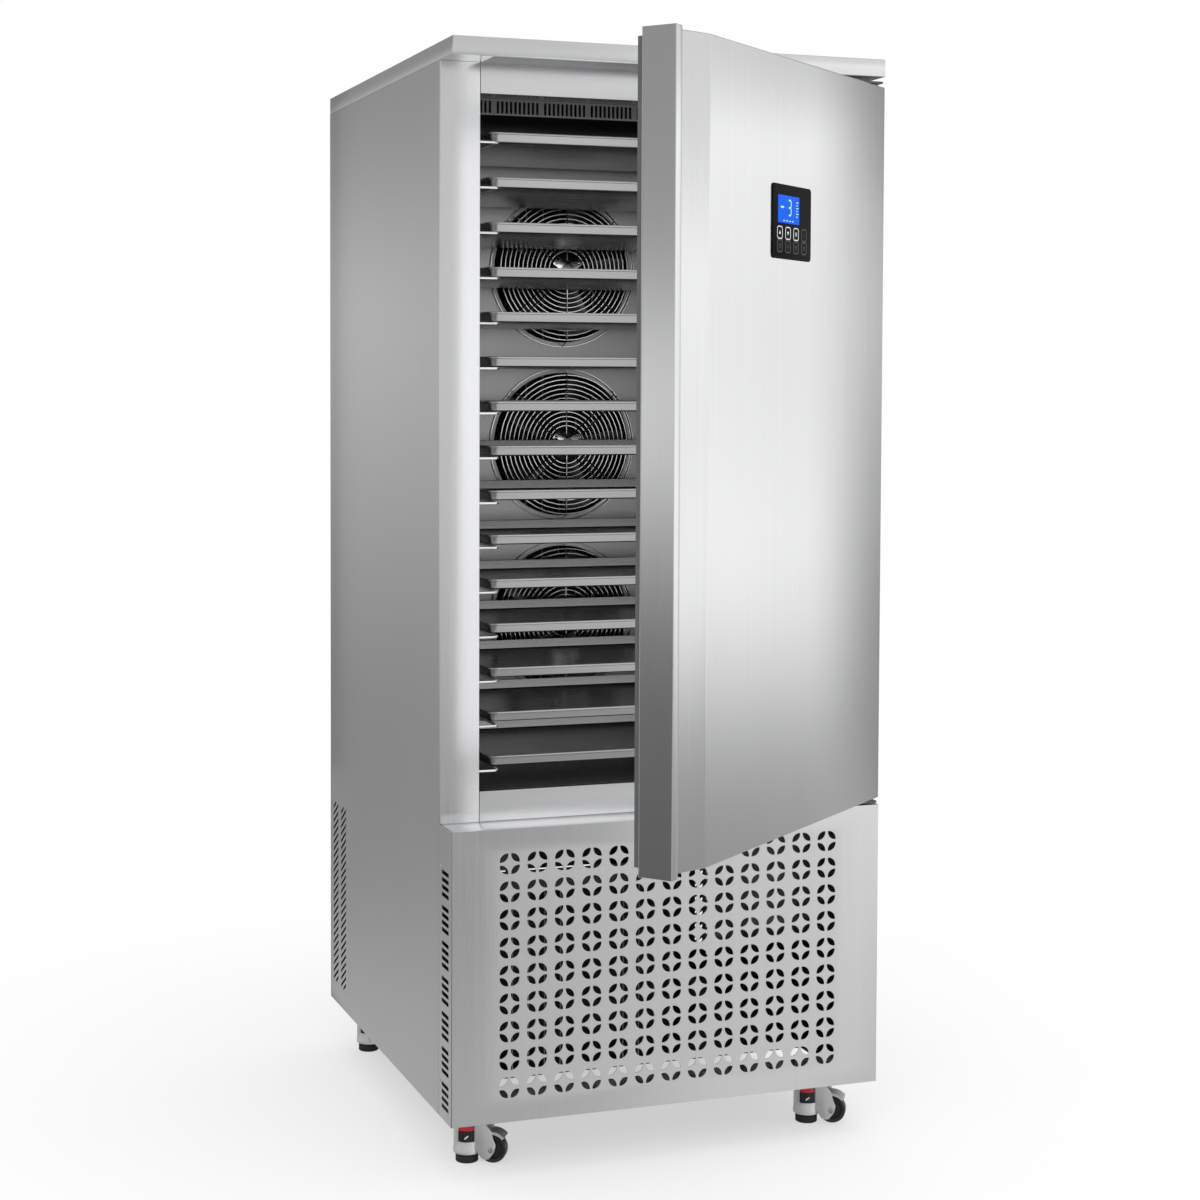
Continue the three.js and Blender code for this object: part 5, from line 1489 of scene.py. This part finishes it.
@dataclass
class Door:
    """The door: outer skin with its full-height grip, inner skin, gasket and control panel."""

    left: float = -785.0
    right: float = 12.0
    face: float = -15.0
    back: float = 42.0
    bottom: float = 607.6
    top: float = 1875.5
    lip: float = 20.0
    grip_width: float = 110.0
    grip_depth: float = 27.0
    undercut: float = 4.0
    edge: float = 2.2
    inner_steps: tuple[Flat, ...] = ((36, 0), (3, 1.0), (5, 4.5), (3, 1.0))
    gasket_width: float = 22.0
    gasket_middle: float = -386.5
    gasket_half: float = 384.5
    gasket_back: float = 57.5
    gasket_inset: float = 11.0
    bead_steps: tuple[Flat, ...] = ((4, -2.5), (3, 2.2))
    display: Flat = (-381.0, 1610.5)
    display_size: Flat = (149.0, 120.0)
    pocket_inset: float = 9.7

    def build(self) -> None:
        """Every piece of the door."""
        self.shell()
        self.inner_skin()
        self.gasket()
        ControlPanel(self.display, self.display_size, self.face).build()

    def shell(self) -> None:
        """The outer skin: a rounded box with the grip drawn into it, open at the back."""
        form = Form()
        flange = self.back - SHEET - GAP
        lip = self.left + self.lip
        section = [
            (self.right, self.face), (self.right, flange), (self.left, flange),
            (self.left, self.face), (lip, self.face),
            (lip + self.undercut, self.face + self.grip_depth),
            (self.left + self.grip_width, self.face),
        ]
        faces = form.prism(section, self.bottom, self.top)
        form.bevel([
            e for e in form.sharp(corners(faces), 8)
            if not all(abs(v.co.y - flange) < 0.01 for v in e.verts)], self.edge, 3)
        form.remove(
            f for f in form.bm.faces
            if f.normal.y > 0.99 and f.calc_center_median().y > flange - 0.1)
        (u, z), (w, h) = self.display, self.display_size
        du, dz = w / 2 - self.pocket_inset, h / 2 - self.pocket_inset
        form.split(self.in_front, ((X, u - du), (X, u + du), (Z, z - dz), (Z, z + dz)))
        middle = Vector((u, self.face, z))
        form.remove(
            f for f in form.bm.faces
            if self.in_front(f) and (f.calc_center_median() - middle).length < 5)
        form.thicken(form.bm.faces)
        form.finish(
            "door_outer_skin", STEEL, "brushed_steel", "door", DOOR, ["door_shell"], 20)

    def in_front(self, face: BMFace) -> bool:
        """Whether a face lies in the door's front plane."""
        return face.normal.y < -0.99 and abs(face.calc_center_median().y - self.face) < 0.01

    def inner_skin(self) -> None:
        """The inner skin: a flat sheet with a raised, rounded field inside the gasket."""
        form = Form()
        verts = form.block(
            (self.left, self.back - SHEET, self.bottom), (self.right, self.back, self.top))
        form.inset([looking(verts, Y)], *self.inner_steps)
        form.bevel(form.sharp(verts, 60), 0.3, 1)
        form.finish(
            "door_liner_skin", STEEL_DULL, "brushed_steel", "door", DOOR, ["door_inner_skin"], 20)

    def gasket(self) -> None:
        """The magnetic gasket: a ribbed frame, deeper where the magnet strip runs."""
        form = Form()
        middle, half = self.gasket_middle, self.gasket_half
        low = (middle - half, self.back + GAP, self.bottom + self.gasket_inset)
        verts = form.block(low, (middle + half, self.gasket_back, self.top - self.gasket_inset))
        front, rear = looking(verts, Y), looking(verts, -Y)
        form.inset([front], (self.gasket_width, 0))
        form.inset([rear], (self.gasket_width, 0))
        loops = list(front.edges) + list(rear.edges)
        form.remove((front, rear), "FACES_ONLY")
        bmesh.ops.bridge_loops(form.bm, edges=loops)
        form.outward()
        form.inset([f for f in form.bm.faces if f.normal.y > 0.9], *self.bead_steps)
        form.bevel(form.sharp(form.bm.verts, 50), 1.0, 2)
        form.finish(
            "door_gasket_ring", GREY_RUBBER, "grey_rubber", "door", DOOR, ["door_gasket"], 30)


class Segment(Enum):
    """The seven bars of a digit: (across, up, lying down?) in bar lengths."""

    TOP = (0.0, 1.0, True)
    MIDDLE = (0.0, 0.0, True)
    BOTTOM = (0.0, -1.0, True)
    UPPER_LEFT = (-0.5, 0.5, False)
    UPPER_RIGHT = (0.5, 0.5, False)
    LOWER_LEFT = (-0.5, -0.5, False)
    LOWER_RIGHT = (0.5, -0.5, False)


class Sign(Enum):
    """The plain signs printed on the keys."""

    UP = 1
    DOWN = -1
    BARS = 2
    STAR = 3
    DIAL = 4


@dataclass
class ControlPanel:
    """Glossy panel on the door with a lit display and eight flat touch keys."""

    middle: Flat
    size: Flat
    face: float
    proud: float = 2.0
    corner: float = 7.0
    edge: float = 0.9
    box_inset: float = 10.0
    box_depth: float = 35.0
    screen: tuple[float, float, float, float] = (-54.0, -2.0, 27.0, 42.5)
    lit_rise: Flat = (0.0, 0.14)
    lit: str = "1110101"
    bar: float = 8.0
    bar_width: float = 2.8
    keys_left: float = -47.0
    keys_top: float = -18.0
    key_columns: int = 4
    key_pitch: Flat = (31.0, 21.5)
    key_half: float = 9.5
    line: float = 0.8
    line_rise: Flat = (0.06, 0.18)
    sign_rise: Flat = (0.05, 0.2)
    signs: tuple[Sign, ...] = (
        Sign.UP, Sign.DOWN, Sign.BARS, Sign.STAR, Sign.DIAL, Sign.STAR, Sign.BARS, Sign.DIAL)
    bright_keys: int = 3
    form: Form = field(init=False, default_factory=Form)

    def build(self) -> None:
        """The bezel with its box behind, the display and the keys."""
        form, (w, h), inset = self.form, self.size, self.box_inset
        outline = rounded((-w / 2, -h / 2), (w / 2, h / 2), self.corner, 6)
        faces = form.prism(outline, 0, self.proud - GAP)
        rim = [e for e in form.sharp(corners(faces)) if all(v.co.z > 1 for v in e.verts)]
        form.bevel(rim, self.edge, 3)
        low = (inset - w / 2, inset - h / 2, -self.box_depth)
        form.soft_block(low, (w / 2 - inset, h / 2 - inset, 0.1), 1.0, 2)
        form.mark(0)
        self.display()
        self.keys()
        (u, z), out = self.middle, self.face - GAP
        form.finish(
            "control_panel_face", [BEZEL, LCD_BACK, LCD_MARK, KEY_FILM, INK, DIM_INK],
            "black_plastic", "door", DOOR @ Matrix.Translation((u, out, z)) @ FORWARD,
            ["control_panel"])

    def display(self) -> None:
        """The lit display: a digit with a bar before it, a ladder and a row of marks."""
        u0, v0, u1, v1 = self.screen
        half = ((u1 - u0) / 2, (v1 - v0) / 2)
        self.tile((u0 + half[0], v0 + half[1]), half, 1.5, (-0.05, 0.08))
        self.form.mark(1)
        middle = (v0 + v1) / 2 + 3
        self.digit((u0 + u1) / 2 + 4, middle)
        self.tile((u0 + 16, middle), (6, 1.5), 0.6, self.lit_rise)
        for k in range(6):
            right = 3 + k % 2 * 3
            spot = (u1 - (12 + right) / 2, v1 - 9 - 4.6 * k)
            self.tile(spot, ((12 - right) / 2, 0.7), 0.4, self.lit_rise)
        for k in range(4):
            self.tile((u0 + 23 + 11 * k, v0 + 3.8), (3, 0.8), 0.4, self.lit_rise)
        self.form.mark(2)

    def keys(self) -> None:
        """The touch keys, bright ones first, each with its frame and its sign."""
        keys = []
        for number in range(len(self.signs)):
            row, column = divmod(number, self.key_columns)
            keys.append((
                self.keys_left + column * self.key_pitch[0],
                self.keys_top - row * self.key_pitch[1]))
            self.tile(keys[-1], (self.key_half, self.key_half), 3.0, (-0.05, 0.06))
        self.form.mark(3)
        for number, (key, sign) in enumerate(zip(keys, self.signs), 1):
            self.frame(*key)
            self.sign(*key, sign)
            if number == self.bright_keys:
                self.form.mark(4)
        self.form.mark(5)

    def tile(self, spot: Flat, half: Flat, radius: float, rise: Flat) -> None:
        """A thin tile with round corners.

        Args:
            spot: Its middle.
            half: Half its width and height.
            radius: Its corners' radius.
            rise: Its foot and its top over the glass.
        """
        (u, v), (du, dv), glass = spot, half, self.proud - GAP
        outline = rounded((u - du, v - dv), (u + du, v + dv), radius, 3)
        self.form.prism(outline, glass + rise[0], glass + rise[1])

    def frame(self, u: float, v: float) -> None:
        """The printed frame round a key.

        Args:
            u: Its middle across.
            v: Its middle up.
        """
        half, line = self.key_half, self.line
        for su, sv in ((0, 1), (0, -1), (1, 0), (-1, 0)):
            size = (line if su else half - 2, line if sv else half - 2)
            self.tile((u + su * half, v + sv * half), size, 0.5, self.line_rise)
        for su, sv in ((-1, -1), (-1, 1), (1, -1), (1, 1)):
            spot = (u + su * (half - 1.4), v + sv * (half - 1.4))
            self.tile(spot, (1, 1), 0.9, self.line_rise)

    def digit(self, u: float, v: float) -> None:
        """One seven-segment digit.

        Args:
            u: Its middle across.
            v: Its middle up.
        """
        for segment, on in zip(Segment, self.lit):
            across, up, lying = segment.value
            half = (self.bar * 0.5, self.bar_width / 2) if lying else (
                self.bar_width / 2, self.bar * 0.62)
            if on == "1":
                spot = (u + across * self.bar * 1.25, v + up * self.bar * 1.5)
                self.tile(spot, half, 0.7, self.lit_rise)

    def sign(self, u: float, v: float, sign: Sign) -> None:
        """A plain sign on a key.

        Args:
            u: Its middle across.
            v: Its middle up.
            sign: Which sign.
        """
        low, high = (self.proud - GAP + rise for rise in self.sign_rise)
        if sign in (Sign.UP, Sign.DOWN):
            flip = sign.value
            points = [(u - 3.4, v - 2.4 * flip), (u + 3.4, v - 2.4 * flip), (u, v + 3.2 * flip)]
            self.form.prism(points, low, high)
        elif sign is Sign.BARS:
            for dv in (-2.4, 0, 2.4):
                self.tile((u, v + dv), (3.6, 0.5), 0.4, self.sign_rise)
        elif sign is Sign.STAR:
            spot = Vector((u, v, (low + high) / 2))
            for k in range(6):
                way = Matrix.Rotation(math.radians(60 * k), 3, "Z") @ X
                self.form.bar(spot + way, spot + way * 3.8, 0.35, 6)
        else:
            ring = [(3.4, low), (3.4, high), (2.6, high), (2.6, low)]
            self.form.turned(ring, Matrix.Translation((u, v, 0)), 24, True)
            self.tile((u, v + 2.2), (0.4, 2.2), 0.3, self.sign_rise)


@dataclass
class Caster:
    """One levelling caster: die-cast housing, wheel, and foot pad on its stem."""

    place: str
    x: float
    y: float
    turn: float = -32.0
    trail: float = 47.0
    wheel_radius: float = 25.0
    wheel_z: float = 26.0
    wheel_width: float = 20.0
    arm_width: float = 32.0
    arm_wall: float = 4.6
    hood_gap: float = 2.0
    hood_wall: float = 5.0
    housing_radius: float = 24.0
    top: float = 90.7
    window_z: Flat = (37.0, 67.0)
    window_angle: float = -82.0
    window_half: float = 41.0
    dial_inset: float = 2.6
    dial_ribs: int = 24
    dial_split: float = 0.66
    dial_margins: Flat = (1.6, 0.3)
    thread_turns: int = 14

    @property
    def spot(self) -> Matrix:
        """Where the caster's own frame lies, turned about its swivel axis."""
        turn = Matrix.Rotation(math.radians(self.turn), 4, "Z")
        return CABINET @ Matrix.Translation((self.x, self.y, 0)) @ turn

    def build(self) -> None:
        """The caster's three moving parts and its dial."""
        self.housing()
        self.wheel()
        self.pad()

    def housing(self) -> None:
        """The cup over the pad, the arms along the wheel and the hood over it."""
        form = Form()
        r, (low, high) = self.housing_radius, self.window_z
        cup = [(22.0, 16.0), (r - 0.6, 16.0), (r, 17.0), (r, 24.0), (r - 0.7, 25.4), (r - 0.7, low),
               (r - 0.7, high), (r - 0.7, 70.0), (r - 2.2, 74.5), (r - 6, 78.0), (14.0, 79.5),
               (13.0, 84.0), (11.0, self.top), (9.2, self.top), (9.2, 60.0), (18.0, 58.0),
               (19.4, 55.0), (19.4, 26.0), (22.0, 24.0)]
        form.turned(cup, Matrix.Identity(4), 48, True)
        window = [
            f for f in form.bm.faces
            if self.in_window(f.calc_center_median()) and f.normal.xy.length > 0.9
            and f.calc_center_median().xy.length > r - 2]
        form.mark(0)
        form.inset(window, (1.0, -0.5))
        form.mark(0)
        form.inset(window, (0.2, -1.8))
        for face in window:
            face.material_index = 2
        form.mark(2)
        half = self.arm_width / 2
        outline = [
            (18, 26), (30, 9.5), (36, 8), (43, 9.5), (52, 22), (55, 34), (50, 46), (46, 60),
            (36, 72), (24, 80), (18, 82)]
        for side in (-1, 1):
            y0, y1 = sorted((side * half, side * (half - self.arm_wall)))
            form.soft_prism(outline, y0, y1, 1.4, 3, 15)
            form.move(FORWARD, form.fresh())
            form.mark(0)
        axle, reach = (self.trail, self.wheel_z), self.wheel_radius + self.hood_gap
        hood = arc(axle, reach + self.hood_wall, 44, 172, 14) + arc(axle, reach, 172, 44, 14)
        form.prism(hood, 1.0 - half, half - 1.0)
        form.move(FORWARD, form.fresh())
        form.mark(0)
        for side in (-1, 1):
            cap = [(0, 0), (5.2, 0), (5.2, 1.0), (3.6, 1.5), (3.0, 0.6), (0, 0.6)]
            end = Matrix.Translation((self.trail, side * half, self.wheel_z))
            form.turned(cap, end @ (BACKWARD if side > 0 else FORWARD), 20)
        form.bar((self.trail, -half, self.wheel_z), (self.trail, half, self.wheel_z), 4, 16)
        form.mark(1)
        form.finish(
            f"caster_{self.place}_casting", [ALUMINIUM, STEEL_DULL, NYLON], "cast_aluminium",
            f"caster_{self.place}", self.spot, [f"caster_housing_{self.place}"], 28)
        self.dial()

    def in_window(self, spot: Vector) -> bool:
        """Whether a point lies in the housing's window, seen from its axis."""
        low, high = self.window_z
        return low < spot.z < high and abs(bearing(spot) - self.window_angle) < self.window_half

    def dial(self) -> None:
        """The ribbed adjusting dial with its red band, as far as the window shows it."""
        form = Form()
        r, (low, high) = self.housing_radius - self.dial_inset, self.window_z
        split, (end, gap) = low + self.dial_split * (high - low), self.dial_margins
        steps = 4 * self.dial_ribs
        for slot, z0, z1 in ((0, low + end, split - gap), (1, split + gap, high - end)):
            ring = [(r - 0.8, z0), (r + 0.2, z0), (r + 0.2, z1), (r - 0.8, z1)]
            form.turned(ring, Matrix.Identity(4), steps, True)
            if slot == 0:
                for vert in form.fresh():
                    step = round(bearing(vert.co) * steps / 360)
                    if vert.co.xy.length > r and step % 4 < 2:
                        vert.co.xy = vert.co.xy * (1 + 0.9 / r)
            form.mark(slot)
        form.remove(
            f for f in form.bm.faces
            if abs(bearing(f.calc_center_median()) - self.window_angle) > self.window_half - 5)
        bmesh.ops.holes_fill(form.bm, edges=[e for e in form.bm.edges if e.is_boundary], sides=0)
        form.outward()
        form.mark(0)
        angle = math.radians(self.window_angle + 4)
        out = Vector((math.cos(angle), math.sin(angle), 0))
        mark = form.block((-1.1, -4.2, -0.5), (1.1, 4.2, 0.25))
        place = Matrix.Translation(out * (r + 1.1) + Z * (low + 9.5))
        form.move(place @ facing(out) @ Matrix.Rotation(math.radians(-50), 4, "Z"), mark)
        form.mark(2)
        form.finish(
            f"caster_{self.place}_dial", [NYLON, RED, INK], "black_nylon",
            f"caster_{self.place}", self.spot)

    def wheel(self) -> None:
        """The nylon wheel with a rounded tread and dished sides."""
        r, half = self.wheel_radius, self.wheel_width / 2
        profile = [
            (4.5, half - 1), (8, half - 1), (8.6, half - 3), (16, half - 3), (18, half - 0.6),
            (r - 2.6, half), (r - 0.7, half - 1.3), (r, half - 3.6), (r, 3.6 - half),
            (r - 0.7, 1.3 - half), (r - 2.6, -half), (18, 0.6 - half), (16, 3 - half),
            (8.6, 3 - half), (8, 1 - half), (4.5, 1 - half)]
        form = Form()
        axle = Matrix.Translation((self.trail, 0, self.wheel_z)) @ FORWARD
        form.turned(profile, axle, 36, True)
        form.finish(
            f"wheel_{self.place}_tyre", NYLON, "black_nylon", f"wheel_{self.place}", self.spot,
            [f"caster_wheel_{self.place}"])

    def pad(self) -> None:
        """The ribbed rubber foot on its threaded stem."""
        form = Form()
        foot = [(0, 0), (19, 0), (19.8, 0.8), (20, 2), (20, 4), (19.2, 4.8), (19.2, 6), (20, 6.8),
                (20, 10.5), (17.5, 13.6), (9, 14), (0, 14)]
        form.turned(foot, Matrix.Identity(4), 36)
        form.mark(0)
        stem = [(0, 13.5)]
        for i in range(self.thread_turns):
            stem += [(4.0, 14.2 + 2 * i), (4.9, 15.2 + 2 * i)]
        end = 14.6 + 2 * self.thread_turns
        stem += [(4.0, end), (0, end + 1)]
        form.turned(stem, Matrix.Identity(4), 16)
        form.mark(1)
        form.finish(
            f"pad_{self.place}_foot", [RUBBER, CHROME], "black_rubber", f"pad_{self.place}",
            self.spot, [f"foot_pad_{self.place}"])


class CadFinish:
    """The CAD nodes that keep their own shape, with the finish and edge round each gets."""

    wanted: dict[str, tuple[Finish, float]] = {
        # The base frame takes the near-black galvanised finish: painted shade inside the machine
        # compartment.
        "base_frame": (ZINC_PAINTED_SHADE, 0.0),
        "back_panel": (ZINC, 0.3),
        "rear_cover": (ZINC, 0.0),
        "top_rail": (STEEL_ACROSS, 0.4),
        "bottom_rail": (STEEL_ACROSS, 0.4),
        "insulation": (FOAM, 0.0),
        "liner": (LINER_STEEL, 0.4),
        "evaporator": (FINS, 0.0),
        "compressor": (BLACK_PAINT, 0.0),
        "condenser": (FINS, 0.0),
        "control_box": (ZINC, 0.4),
        "top_hinge": (HINGE_STEEL, 0.8),
        "bottom_hinge": (HINGE_STEEL, 0.8),
        "door_core": (FOAM, 0.0),
    }

    def build(self) -> None:
        """Dresses each node."""
        for node, (finish, edge) in self.wanted.items():
            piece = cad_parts[node]
            for holder in piece.material_slots:
                holder.material = finish.material()
            if edge:
                weld = piece.modifiers.new("weld", "WELD")
                weld.merge_threshold = 1e-5
                bevel = piece.modifiers.new("edge", "BEVEL")
                bevel.width, bevel.segments = edge * MM, 2
                bevel.limit_method, bevel.angle_limit = "ANGLE", math.radians(40)
                bevel.harden_normals = False
            LOG.info("%s gets %s", node, finish.name)


def main() -> None:
    """Builds the studio, then every piece of the chiller."""
    logging.basicConfig(level=logging.INFO, format="%(message)s")
    bpy.context.scene.view_settings.view_transform = "Standard"
    parts = (
        Studio(), CadFinish(), Worktop(), SidePanels(), PiercedCover(), CeilingDuct(),
        Evaporation(), TrayStack(), Door(),
        Caster("front_left", -340.0, 30.0), Caster("front_right", 312.0, 30.0),
        Caster("back_left", -340.0, 700.0), Caster("back_right", 312.0, 700.0),
        Rotor("condenser_fan_blades", "condenser_fan", "condenser_rotor",
              Vector((-125, 269, 268.3)), 138.0),
    )
    for part in parts:
        LOG.info("building %s", type(part).__name__)
        part.build()


if __name__ == "__main__":
    main()
